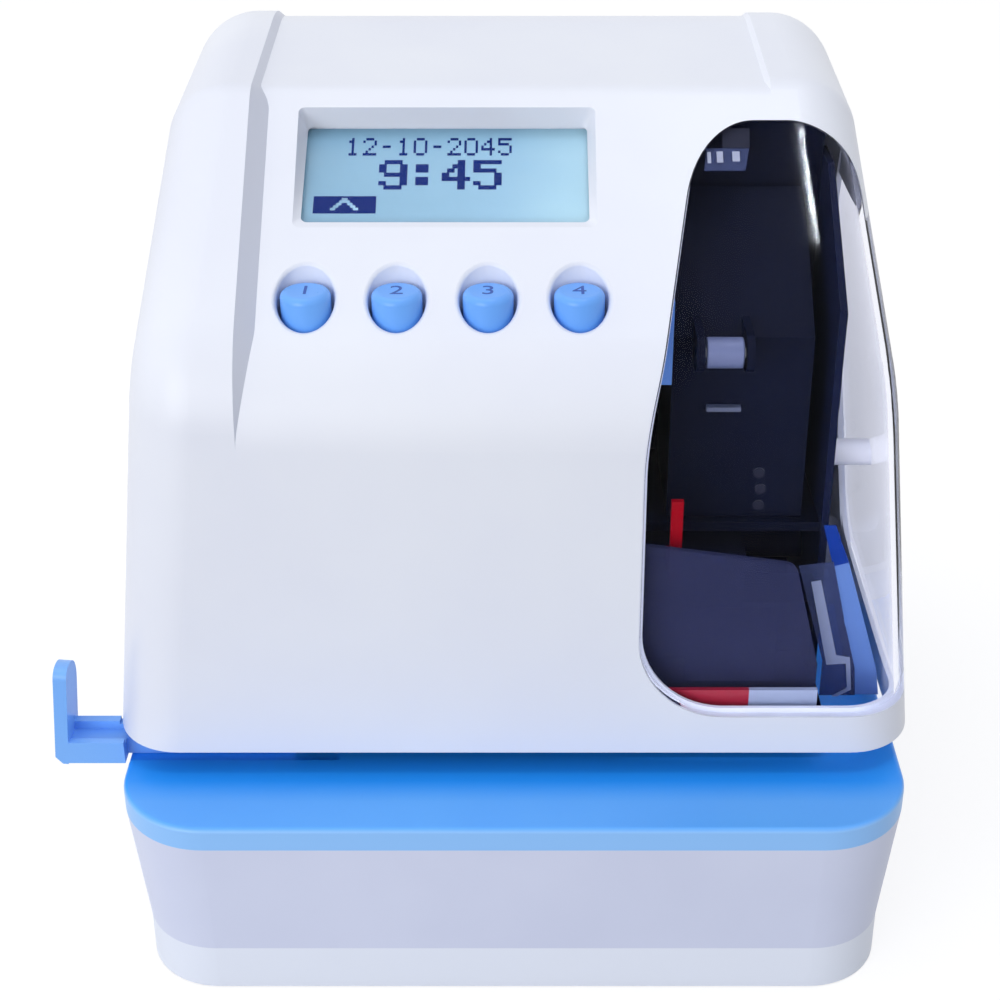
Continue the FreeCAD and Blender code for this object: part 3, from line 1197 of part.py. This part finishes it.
deck_holes = screws("deck_screws", deck_seats)
keypad_holes = screws("keypad_screws", keypad_seats)
for make in (
    base,
    paper_table,
    paper_guide,
    housing,
    window_cover,
    display,
    keypad,
    throat_plate,
    chassis,
    belt_drive,
    carriage,
    ribbon_bay,
    ribbon_cassette,
    main_board,
    power_inlet,
):
    make()
doc.recompute()

wrong = [o.Label for o in doc.Objects if {"Invalid", "Error"} & set(o.State)]
wrong += [label for label, o in nodes.items() if o.Shape.isNull() or not o.Shape.isValid()]
wrong += [label for label, o in nodes.items() if not o.Shape.Solids]
if wrong:
    raise RuntimeError("these pieces failed: " + ", ".join(wrong))

os.makedirs("parts", exist_ok=True)
for label, made in nodes.items():
    made.Shape.exportStep(f"parts/{label}.step")
    print(label, len(made.Shape.Solids), round(made.Shape.Volume, 1))
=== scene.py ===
"""The dressed date and time stamp machine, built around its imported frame."""

import math

import bmesh
import bpy
from mathutils import Matrix, Vector

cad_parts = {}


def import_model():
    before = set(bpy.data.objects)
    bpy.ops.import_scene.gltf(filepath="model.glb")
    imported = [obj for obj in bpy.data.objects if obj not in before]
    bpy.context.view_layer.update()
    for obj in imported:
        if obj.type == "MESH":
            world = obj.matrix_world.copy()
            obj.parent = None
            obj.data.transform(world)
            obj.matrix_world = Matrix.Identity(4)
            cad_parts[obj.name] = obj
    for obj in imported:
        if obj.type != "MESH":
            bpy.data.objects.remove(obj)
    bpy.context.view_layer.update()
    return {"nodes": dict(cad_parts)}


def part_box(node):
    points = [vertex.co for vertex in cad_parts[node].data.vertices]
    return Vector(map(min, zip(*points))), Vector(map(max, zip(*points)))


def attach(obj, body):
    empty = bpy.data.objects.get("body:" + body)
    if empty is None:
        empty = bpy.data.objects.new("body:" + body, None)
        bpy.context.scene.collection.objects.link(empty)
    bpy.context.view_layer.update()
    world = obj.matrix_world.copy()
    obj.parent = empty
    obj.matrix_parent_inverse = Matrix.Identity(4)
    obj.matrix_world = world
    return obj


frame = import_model()
nodes = frame["nodes"]

MM = 0.001

# The camera, as solved from the photograph.
CAMERA_PLACE = Vector((0.0006, -0.3653, 0.2692))
CAMERA_DROP = 29.0
CAMERA_LENS = 67.7
CAMERA_SENSOR = 36.0
CAMERA_SHIFT_X = -0.017

# Studio light: lamp name, place, what it points at, width, height, watts.
LAMPS = (
    ("key_lamp", (-0.50, -0.90, 0.28), (0, 0, 0.06), 0.7, 0.6, 3.95),
    ("fill_lamp", (0.85, -0.50, 0.40), (0, 0, 0.08), 0.5, 0.8, 0.25),
    ("top_lamp", (-0.25, 0.10, 1.1), (0, 0, 0.1), 0.8, 0.6, 1.05),
)
# A narrow lamp overhead, which the clear cover mirrors as a streak: place, length, width, watts.
STREAK_LAMP = ((0.2115, -0.085, 1.15), 0.085, 0.006, 1.15)
STREAK_TURN = -79.6
STREAK_COLOUR = (0.86, 0.91, 1.0)
WHITE = (1.0, 1.0, 1.0)
# The sky's strength from the left and from the right, and as the background.
SKY_LEFT, SKY_RIGHT = 0.92, 0.50
BACKGROUND = 1.0


def linear(red, green, blue):
    """A screen colour, 0 to 255, as the colour that a shader takes."""
    def channel(value):
        value /= 255
        return value / 12.92 if value <= 0.04045 else ((value + 0.055) / 1.055) ** 2.4
    return channel(red), channel(green), channel(blue), 1.0


# Materials

class Tree:
    """A node tree that is put together a node at a time, from nothing or from what is there."""

    def __init__(self, owner, empty=True):
        owner.use_nodes = True
        self.nodes = owner.node_tree.nodes
        self.links = owner.node_tree.links
        if empty:
            self.nodes.clear()

    def add(self, kind, values=None, **settings):
        """A node with its settings and its sockets. A value that is a socket gets a link."""
        made = self.nodes.new("ShaderNode" + kind)
        for name, value in settings.items():
            setattr(made, name, value)
        for name, value in (values or {}).items():
            if isinstance(value, bpy.types.NodeSocket):
                self.links.new(value, made.inputs[name])
            else:
                made.inputs[name].default_value = value
        return made

    def noise(self, where, scale, detail=3.0, stretch=None):
        if stretch:
            where = self.add("Mapping", {"Vector": where, "Scale": stretch}).outputs["Vector"]
        made = self.add("TexNoise", {"Vector": where, "Scale": scale, "Detail": detail})
        return made.outputs["Fac"]

    def ramp(self, factor, *stops):
        """A colour ramp through stops of place and colour."""
        made = self.add("ValToRGB", {"Fac": factor})
        points = made.color_ramp.elements
        for place, colour in stops[2:]:
            points.new(place).color = colour
        for point, (place, colour) in zip(points, stops[:2]):
            point.position = place
            point.color = colour
        return made.outputs["Color"]

    def between(self, factor, low, high):
        """A factor of 0 to 1 laid out from low to high."""
        made = self.add("MapRange", {"Value": factor, "To Min": low, "To Max": high})
        return made.outputs["Result"]

    def finish(self, shader, kind="Material"):
        self.links.new(shader, self.nodes.new("ShaderNodeOutput" + kind).inputs["Surface"])


def look(name, colour, other, rough, grain=1500.0, bump=0.05, patch=25.0, spread=0.05,
         stretch=None, lets_light=None, **shader):
    """A moulded or metal finish: colour that drifts over patches, and a fine grain in gloss and height."""
    material = bpy.data.materials.get(name) or bpy.data.materials.new(name)
    tree = Tree(material)
    where = tree.add("TexCoord").outputs["Object"]
    drift = tree.noise(where, patch, stretch=stretch)
    fine = tree.noise(where, grain, detail=2.0, stretch=stretch)
    relief = tree.add("Bump", {"Height": fine, "Strength": bump, "Distance": 0.1 * MM})
    values = {
        "Base Color": tree.ramp(drift, (0.35, linear(*colour)), (0.65, linear(*other))),
        "Roughness": tree.between(fine, max(rough - spread, 0), rough + spread),
        "Normal": relief.outputs["Normal"],
    }
    values.update(shader)
    surface = tree.add("BsdfPrincipled", values).outputs["BSDF"]
    if lets_light:
        ray = tree.add("LightPath").outputs["Is Shadow Ray"]
        open_way = tree.add("BsdfTransparent", {"Color": linear(*lets_light)}).outputs["BSDF"]
        mixed = tree.add("MixShader", {"Fac": ray})
        tree.links.new(surface, mixed.inputs[1])
        tree.links.new(open_way, mixed.inputs[2])
        surface = mixed.outputs["Shader"]
    tree.finish(surface)
    return material


GLASS = {"Transmission Weight": 1.0, "IOR": 1.10}
METAL = {"Metallic": 1.0}
DULL = {"Specular IOR Level": 0.03}

look("housing_plastic", (231, 235, 246), (227, 231, 244), 0.36)
look("base_plastic", (214, 221, 246), (209, 216, 242), 0.42)
look("guide_plastic", (124, 182, 255), (118, 178, 253), 0.36)
look("button_plastic", (108, 174, 255), (102, 168, 252), 0.30)
look("clear_plastic", (247, 248, 255), (243, 245, 254), 0.03, bump=0.01, spread=0.015,
     lets_light=(242, 243, 250), **GLASS)
look("smoked_plastic", (74, 80, 122), (66, 72, 112), 0.10, bump=0.02, spread=0.03,
     lets_light=(120, 126, 160), **dict(GLASS, **{"Transmission Weight": 0.72}))
look("display_lens", (252, 252, 253), (250, 251, 252), 0.02, bump=0.005, spread=0.01,
     lets_light=(252, 252, 253), **GLASS)
look("white_plastic", (232, 233, 240), (226, 228, 236), 0.40)
look("grey_plastic", (156, 168, 194), (148, 160, 188), 0.42)
look("red_plastic", (156, 24, 50), (146, 20, 44), 0.35)
look("tab_plastic", (96, 156, 240), (88, 148, 236), 0.34)
look("black_plastic", (12, 17, 36), (9, 13, 30), 0.45, bump=0.01, **DULL)
look("black_steel", (18, 24, 50), (14, 20, 42), 0.42, bump=0.01, **DULL)
look("zinc_steel", (186, 188, 190), (168, 171, 175), 0.33, patch=60.0, **METAL)
look("bright_steel", (206, 208, 212), (192, 195, 200), 0.22, stretch=(1.0, 12.0, 12.0), **METAL)
look("aluminium", (196, 199, 203), (182, 185, 190), 0.35, stretch=(8.0, 1.0, 8.0), **METAL)
look("brass", (196, 160, 92), (182, 146, 80), 0.30, **METAL)
look("knob_plastic", (101, 110, 142), (94, 103, 136), 0.42)
look("latch_plastic", (84, 92, 116), (78, 86, 110), 0.42)
look("pointer_plastic", (164, 3, 26), (154, 2, 22), 0.35, **DULL)
look("rubber", (30, 31, 34), (22, 23, 26), 0.75, grain=900.0, bump=0.2)
look("circuit_board", (20, 88, 58), (14, 74, 48), 0.45, patch=160.0, bump=0.12)
look("ribbon_cloth", (18, 17, 24), (12, 11, 18), 0.8, grain=4000.0, bump=0.3)


def tint(material, share, colour, at_zero=False):
    """Mixes a colour of painted light or shade into a finish where share is 1, or where it is 0 if at_zero
    is True.
    """
    tree = Tree(material, empty=False)
    target = next(n for n in tree.nodes if n.type == "BSDF_PRINCIPLED").inputs["Base Color"]
    both = [target.links[0].from_socket, linear(*colour)]
    if at_zero:
        both.reverse()
    mixed = tree.add("MixRGB", {"Fac": share, "Color1": both[0], "Color2": both[1]})
    tree.links.new(mixed.outputs["Color"], target)


def along_axis(material, kind, output, axis, low, high):
    """0 to 1 as one axis of a surface's normal or place goes from low to high."""
    tree = Tree(material, empty=False)
    parts = tree.add("SeparateXYZ", {"Vector": tree.add(kind).outputs[output]}).outputs
    return tree.add("MapRange", {"Value": parts[axis], "From Min": low, "From Max": high}).outputs["Result"]


def by_normal(material, axis, low, high):
    return along_axis(material, "NewGeometry", "Normal", axis, low, high)


def by_place(material, axis, low, high):
    return along_axis(material, "TexCoord", "Object", axis, low, high)


# Where the painted light and shade in these finishes change: along an axis of the normal, or in metres.
# painted shade on the table under the housing's front edge, towards the throat
TABLE_PAINTED_SHADE_Y = (-0.0755, -0.0690)
# painted highlight on the table's upright edges
TABLE_EDGE_PAINTED_HIGHLIGHT_NORMAL_Z = (0.3, 0.9)
# painted light on the base's upright foot, against the downward-leaning skirt
FOOT_PAINTED_LIGHT_NORMAL_Z = (-0.07, -0.02)
# painted shade on the step beside the housing's left cheek: the step's normal and the left part it lies in
STEP_PAINTED_SHADE_NORMAL_X = (0.25, 0.6)
STEP_PAINTED_SHADE_LEFT_X = (-0.040, -0.0425)


def table_look():
    """The table's blue, with painted shade that deepens it towards the throat and a painted highlight that
    lightens its upright edges.
    """
    material = look("blue_plastic", (92, 173, 255), (87, 168, 254), 0.38)
    # painted shade: a deeper blue towards the throat
    tint(material, by_place(material, "Y", *TABLE_PAINTED_SHADE_Y), (36, 152, 255))
    # painted highlight: a lighter blue on the upright edges
    tint(material, by_normal(material, "Z", *TABLE_EDGE_PAINTED_HIGHLIGHT_NORMAL_Z), (142, 196, 255), at_zero=True)


def base_look():
    """The base, with painted light on its upright foot, so that the foot is lighter than the skirt that
    flares out above it.
    """
    material = bpy.data.materials["base_plastic"]
    # painted light: the upright foot gets a lighter colour
    tint(material, by_normal(material, "Z", *FOOT_PAINTED_LIGHT_NORMAL_Z), (230, 237, 253))


def housing_look():
    """The housing, with painted shade that darkens the step beside its left cheek."""
    material = bpy.data.materials["housing_plastic"]
    step = by_normal(material, "X", *STEP_PAINTED_SHADE_NORMAL_X)
    left = by_place(material, "X", *STEP_PAINTED_SHADE_LEFT_X)
    both = Tree(material, empty=False).add("Math", {0: step, 1: left}, operation="MULTIPLY")
    # painted shade: a darker colour on the left step
    tint(material, both.outputs["Value"], (203, 208, 224))


def display_look():
    """The glass of the display: pale blue, with a painted highlight that brightens it towards its right
    edge, and a faint painted glow.
    """
    tree = Tree(bpy.data.materials["display_glass"])
    where = tree.add("TexCoord").outputs["Generated"]
    axes = tree.add("SeparateXYZ", {"Vector": where}).outputs
    fine = tree.noise(where, 90.0)
    drift = tree.between(tree.noise(where, 2.5), -0.12, 0.12)
    across = tree.add("Math", {0: axes["X"], 1: drift}, operation="ADD").outputs["Value"]
    # painted highlight: the colour brightens towards the right edge
    colour = tree.ramp(across, (0.0, linear(112, 152, 178)), (0.7, linear(130, 170, 196)),
                       (1.0, linear(154, 192, 210)))
    tree.finish(tree.add("BsdfPrincipled", {
        "Base Color": colour,
        "Roughness": tree.between(fine, 0.25, 0.35),
        # a faint painted glow
        "Emission Color": colour,
        "Emission Strength": 0.06,
    }).outputs["BSDF"])


table_look()
base_look()
housing_look()
display_look()
ink = look("display_ink", (22, 42, 112), (18, 36, 100), 0.6, bump=0.0, **DULL)
numeral_ink = look("numeral_ink", (34, 84, 178), (28, 76, 168), 0.45)

for node in nodes.values():
    for place in node.material_slots:
        place.material = bpy.data.materials[place.material.name.split(".")[0]]
for node, finish in (("ribbon_knob", "knob_plastic"), ("cassette_latch", "latch_plastic"),
                     ("position_pointer", "pointer_plastic")):
    nodes[node].material_slots[0].material = bpy.data.materials[finish]


# Pieces that the frame leaves out

def piece(name, points, faces, material, body):
    """A mesh piece that rides on a body."""
    mesh = bpy.data.meshes.new(name)
    mesh.from_pydata([tuple(p) for p in points], [], faces)
    form = bmesh.new()
    form.from_mesh(mesh)
    bmesh.ops.recalc_face_normals(form, faces=form.faces)
    form.to_mesh(mesh)
    form.free()
    made = bpy.data.objects.new(name, mesh)
    bpy.context.scene.collection.objects.link(made)
    mesh.materials.append(material)
    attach(made, body)
    return made


BOX_FACES = ((0, 1, 3, 2), (4, 6, 7, 5), (0, 4, 5, 1), (2, 3, 7, 6), (0, 2, 6, 4), (1, 5, 7, 3))


class Sheet:
    """Flat bars gathered on a plane, given in fractions of its width and height."""

    def __init__(self, corner, across, up, normal, thickness):
        self.corner, self.across, self.up = corner, across, up
        self.normal, self.thickness = normal, thickness
        self.points, self.faces = [], []

    def bar(self, left, right, low, high, lift=0.0):
        start = len(self.points)
        for height in (lift, lift + self.thickness):
            for v in (low, high):
                for u in (left, right):
                    self.points.append(self.corner + self.across * u + self.up * v + self.normal * height)
        self.faces += [tuple(start + i for i in face) for face in BOX_FACES]


def upper_face(node):
    """The corner, width, height and direction of a box node's face that looks up most."""
    mesh = nodes[node].data
    face = max(mesh.polygons, key=lambda f: (round(f.normal.z, 3), f.area))
    normal = face.normal.normalized()
    flat = [p for p in mesh.polygons if p.normal.dot(normal) > 0.999]
    points = [mesh.vertices[i].co for p in flat for i in p.vertices]
    across = Vector((1, 0, 0))
    up = normal.cross(across)
    left, right = (pick(p.dot(across) for p in points) for pick in (min, max))
    low, high = (pick(p.dot(up) for p in points) for pick in (min, max))
    depth = points[0].dot(normal)
    corner = across * left + up * low + normal * depth
    return corner, across * (right - left), up * (high - low), normal


DIGITS = {
    "0": ".###. #...# #...# #...# #...# #...# .###.",
    "1": "..#.. .##.. ..#.. ..#.. ..#.. ..#.. .###.",
    "2": ".###. #...# ....# ...#. ..#.. .#... #####",
    "4": "...#. ..##. .#.#. #..#. ##### ...#. ...#.",
    "5": "##### #.... ####. ....# ....# #...# .###.",
    "9": ".###. #...# #...# .#### ....# #...# .###.",
    "-": "..... ..... ..... .###. ..... ..... .....",
    ":": "..... .##.. .##.. ..... .##.. .##.. .....",
}
DIGIT_ROWS = 7
DIGIT_COLUMNS = 6
DOT_HEIGHT = 0.97


def write(sheet, words, left, right, top, low, weight):
    """Rows of dots, as a display draws them. Each row's neighbouring dots are one bar."""
    wide = (right - left) / (DIGIT_COLUMNS * len(words) - 1)
    tall = (top - low) / DIGIT_ROWS
    for place, letter in enumerate(words):
        start = left + place * DIGIT_COLUMNS * wide
        for row, dots in enumerate(DIGITS[letter].split()):
            v = top - (row + 1) * tall
            column = 0
            for run in dots.replace("#.", "# .").replace(".#", ". #").split():
                if run[0] == "#":
                    u = start + column * wide
                    sheet.bar(u, u + (len(run) - 1 + weight) * wide, v, v + tall * DOT_HEIGHT)
                column += len(run)


INK_THICKNESS = 0.03 * MM
face_plane = upper_face("lcd_module")
# Shares of the display's width and height: left, right, top, low, and each dot's width.
DATE_PLACE = (0.147, 0.726, 0.905, 0.725, 0.85)
TIME_PLACE = (0.266, 0.682, 0.680, 0.385, 1.45)
DARK_FIELD = (0.048, 0.262, 0.150, 0.318)
writing = Sheet(*face_plane, INK_THICKNESS)
write(writing, "12-10-2045", *DATE_PLACE)
write(writing, "9:45", *TIME_PLACE)
writing.bar(*DARK_FIELD)
piece("display_writing", writing.points, writing.faces, ink, "case")

# The roof-shaped mark in the dark field, which is two stairs of short bars.
MARK_STEPS = 5
MARK_MIDDLE = 0.154
MARK_TOP = 0.300
MARK_TIP = 0.008
MARK_STEP_OUT = 0.010
MARK_STEP_DOWN = 0.024
MARK_BAR = 0.018
mark = Sheet(*face_plane, INK_THICKNESS)
for step in range(MARK_STEPS):
    reach = MARK_TIP + MARK_STEP_OUT * step
    high = MARK_TOP - MARK_STEP_DOWN * step
    for side in (-1, 1):
        ends = sorted((MARK_MIDDLE + side * reach, MARK_MIDDLE + side * (reach - MARK_BAR)))
        mark.bar(ends[0], ends[1], high - MARK_STEP_DOWN, high, lift=INK_THICKNESS)
piece("display_mark", mark.points, mark.faces, bpy.data.materials["display_glass"], "case")

NUMERAL_SIZE = 5.6 * MM
NUMERAL_DEPTH = 0.04 * MM


def add_numeral(number):
    """A raised numeral in the middle of a button's top."""
    key = f"button_{number}"
    low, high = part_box(key)
    words = bpy.data.curves.new(key + "_numeral_outline", "FONT")
    words.body = str(number)
    words.size = NUMERAL_SIZE
    words.align_x = "CENTER"
    words.align_y = "CENTER"
    words.extrude = NUMERAL_DEPTH
    outline = bpy.data.objects.new(key + "_numeral_outline", words)
    bpy.context.scene.collection.objects.link(outline)
    bpy.context.view_layer.update()
    mesh = bpy.data.meshes.new_from_object(outline.evaluated_get(bpy.context.evaluated_depsgraph_get()))
    bpy.data.objects.remove(outline)
    middle = (Vector(low) + Vector(high)) / 2
    mesh.transform(Matrix.Translation((middle.x, middle.y, high[2])))
    mesh.materials.clear()
    mesh.materials.append(numeral_ink)
    numeral = bpy.data.objects.new(key + "_numeral", mesh)
    bpy.context.scene.collection.objects.link(numeral)
    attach(numeral, f"key_{number}")


for number in range(1, 5):
    add_numeral(number)


# Small parts behind the window

def plate(name, corners, thickness, material, body):
    """A thin plate through corners given in millimetres, thick along its own normal."""
    points = [Vector(corner) * MM for corner in corners]
    normal = (points[1] - points[0]).cross(points[2] - points[0]).normalized() * thickness
    count = len(points)
    faces = [tuple(range(count)), tuple(range(2 * count - 1, count - 1, -1))]
    faces += [(i, (i + 1) % count, (i + 1) % count + count, i + count) for i in range(count)]
    return piece(name, points + [p + normal for p in points], faces, material, body)


def disc(x, y, z, radius, corners=24):
    turns = [2 * math.pi * i / corners for i in range(corners)]
    return [(x + radius * math.cos(a), y, z + radius * math.sin(a)) for a in turns]


def upright(y, left, right, low, high):
    """The corners of an upright rectangle that faces the front."""
    return (left, y, low), (right, y, low), (right, y, high), (left, y, high)


dim = look("dim_plastic", (44, 46, 60), (38, 40, 54), 0.5, **DULL)
pale = look("pale_plastic", (150, 156, 176), (142, 148, 170), 0.45)
film = look("clear_film", (92, 104, 146), (84, 96, 138), 0.12, bump=0.01,
            lets_light=(150, 158, 190), **{"Transmission Weight": 0.7, "IOR": 1.05})
deep_strip = look("deep_strip", (26, 62, 150), (22, 56, 142), 0.3, bump=0.01,
                  lets_light=(120, 150, 220), **{"Transmission Weight": 0.2, "IOR": 1.05})
pale_strip = look("pale_strip", (116, 150, 208), (108, 142, 202), 0.3, bump=0.01,
                  lets_light=(180, 200, 230), **{"Transmission Weight": 0.3, "IOR": 1.05})
film_edge = look("film_edge", (176, 186, 210), (168, 178, 204), 0.3, bump=0.01,
                 lets_light=(215, 220, 235), **{"Transmission Weight": 0.45, "IOR": 1.05})
THIN = 0.2 * MM

# All places below are in millimetres.
RIVET_PLACES = ((48.1, 94.9), (48.6, 91.3), (48.4, 87.6))
RIVET_Y = -39.5
RIVET_RADIUS = 1.1
CARRIAGE_FACE_Y = -44.5
SHIELD_BACK_Y = -56.05

for count, (x, z) in enumerate(RIVET_PLACES):
    plate(f"cassette_rivet_{count}", disc(x, RIVET_Y, z, RIVET_RADIUS), THIN, dim, "case")
for side, corners in (("left", upright(CARRIAGE_FACE_Y, 29.2, 31.6, 77.0, 78.3)),
                      ("right", upright(CARRIAGE_FACE_Y, 39.4, 42.1, 77.5, 78.2))):
    plate(f"carriage_label_{side}", corners, THIN, pale, "carriage")
plate("shield_patch", upright(SHIELD_BACK_Y, 33.6, 51.4, 57.1, 74.2), THIN, dim, "case")


def on_cover(name, corners, material):
    """A thin plate under the cover's upper part."""
    plate(name, corners, THIN, material, "cover")


on_cover("cover_label", ((36.3, -21.0, 150.0), (44.2, -21.0, 150.0), (45.1, -17.0, 153.0),
                         (36.9, -17.0, 153.0)), film)
on_cover("cover_label_top", ((40.0, -16.9, 153.1), (45.2, -16.9, 153.1), (45.4, -13.3, 155.8),
                             (40.2, -13.3, 155.8)), dim)
# The squares on the lower plate: left, right, and the Y of their lower and upper edges.
SQUARES = ((37.0, 37.7, -19.9, -17.9), (38.8, 40.0, -19.8, -17.8), (41.8, 43.2, -19.6, -17.8))
LABEL_LOW_Y, LABEL_LOW_Z = -21.0, 150.0
LABEL_RISE = 0.75
SQUARE_LIFT = 0.3


def square_corner(x, y):
    return x, y, LABEL_LOW_Z + LABEL_RISE * (y - LABEL_LOW_Y) + SQUARE_LIFT


for count, (left, right, low, high) in enumerate(SQUARES):
    on_cover(f"cover_square_{count}", (square_corner(left, low), square_corner(right, low),
                                       square_corner(right, high), square_corner(left, high)), pale)

# Thin plates that face the front, from the film to its bent edge: name, Y, finish, corners in X and Z.
FRONT_PLATES = (
    ("film_side", -50.0, film, ((55.7, 79.7), (62.4, 80.7), (65.6, 67.2), (68.7, 55.7), (69.3, 49.2),
                                (62.0, 49.2), (62.0, 57.6))),
    ("strip_deep", -49.7, deep_strip, ((59.9, 88.7), (62.3, 88.7), (65.5, 80.4), (62.4, 79.5))),
    ("strip_pale", -49.7, pale_strip, ((61.4, 79.2), (65.5, 80.4), (73.2, 55.5), (74.2, 49.2),
                                       (68.2, 49.2))),
    ("film_flap", -50.4, film_edge, ((58.3, 76.3), (60.2, 76.7), (64.6, 59.1), (67.4, 58.6),
                                     (67.6, 57.2), (62.8, 56.9))),
    ("film_foot", -50.4, film_edge, ((66.8, 57.2), (67.6, 57.2), (68.3, 50.8), (65.6, 49.2),
                                     (64.5, 49.2), (67.5, 51.3))),
)
for name, y, finish, corners in FRONT_PLATES:
    plate(name, [(x, y, z) for x, z in corners], THIN, finish, "case")


# Floor, light and camera

FLOOR_REACH = 6.0
FLOOR_LOW = -0.0002
FLOOR_GLOW = 1.17
FLOOR_GLOW_SHARE = 0.6


def background(tree):
    """1 for rays that show the background as it is: seen, mirrored or seen through glass."""
    rays = tree.add("LightPath").outputs
    both = tree.add("Math", {0: rays["Is Camera Ray"], 1: rays["Is Glossy Ray"]}, operation="ADD")
    return tree.add("Math", {0: both.outputs["Value"], 1: rays["Is Transmission Ray"]},
                    operation="ADD", use_clamp=True).outputs["Value"]


def floor():
    mesh = bpy.data.meshes.new("floor")
    corners = [(x * FLOOR_REACH, y * FLOOR_REACH, FLOOR_LOW)
               for x, y in ((-1, -1), (1, -1), (1, 1), (-1, 1))]
    mesh.from_pydata(corners, [], [(0, 1, 2, 3)])
    made = bpy.data.objects.new("floor", mesh)
    bpy.context.scene.collection.objects.link(made)
    material = bpy.data.materials.new("floor_paper")
    tree = Tree(material)
    where = tree.add("TexCoord").outputs["Object"]
    colour = tree.ramp(tree.noise(where, 4.0), (0.3, linear(246, 247, 250)),
                       (0.7, linear(250, 250, 253)))
    paper = tree.add("BsdfDiffuse", {"Color": colour}).outputs["BSDF"]
    glow = tree.between(background(tree), 0.0, FLOOR_GLOW)
    glow = tree.add("Emission", {"Color": (1, 1, 1, 1), "Strength": glow}).outputs["Emission"]
    blend = tree.add("MixShader", {"Fac": FLOOR_GLOW_SHARE})
    tree.links.new(paper, blend.inputs[1])
    tree.links.new(glow, blend.inputs[2])
    tree.finish(blend.outputs["Shader"])
    mesh.materials.append(material)


def world():
    made = bpy.data.worlds.new("studio")
    bpy.context.scene.world = made
    tree = Tree(made)
    side = tree.add("SeparateXYZ", {"Vector": tree.add("TexCoord").outputs["Generated"]}).outputs["X"]
    sky = tree.add("MapRange", {"Value": side, "From Min": -1.0, "To Min": SKY_LEFT, "To Max": SKY_RIGHT})
    strength = tree.add("MapRange", {"Value": background(tree), "To Min": sky.outputs["Result"],
                                     "To Max": BACKGROUND}).outputs["Result"]
    shown = tree.add("Background", {"Color": (1, 1, 1, 1), "Strength": strength})
    tree.finish(shown.outputs["Background"], "World")


def aimed(place, target):
    return (Vector(target) - Vector(place)).to_track_quat("-Z", "Y").to_euler()


def lamp(name, place, turn, width, height, power, colour=WHITE):
    data = bpy.data.lights.new(name, "AREA")
    data.shape = "RECTANGLE"
    data.size, data.size_y, data.energy = width, height, power
    data.color = colour
    made = bpy.data.objects.new(name, data)
    made.location = place
    made.rotation_euler = turn
    bpy.context.scene.collection.objects.link(made)


def camera():
    data = bpy.data.cameras.new("camera")
    data.lens, data.sensor_width, data.shift_x = CAMERA_LENS, CAMERA_SENSOR, CAMERA_SHIFT_X
    data.clip_start = 0.01
    made = bpy.data.objects.new("camera", data)
    made.location = CAMERA_PLACE
    made.rotation_euler = (math.radians(90 - CAMERA_DROP), 0, 0)
    bpy.context.scene.collection.objects.link(made)
    bpy.context.scene.camera = made


floor()
world()
for name, place, target, *size_and_power in LAMPS:
    lamp(name, place, aimed(place, target), *size_and_power)
place, *size_and_power = STREAK_LAMP
lamp("streak_lamp", place, (0, 0, math.radians(STREAK_TURN)), *size_and_power, colour=STREAK_COLOUR)
camera()
bpy.context.scene.view_settings.view_transform = "Standard"
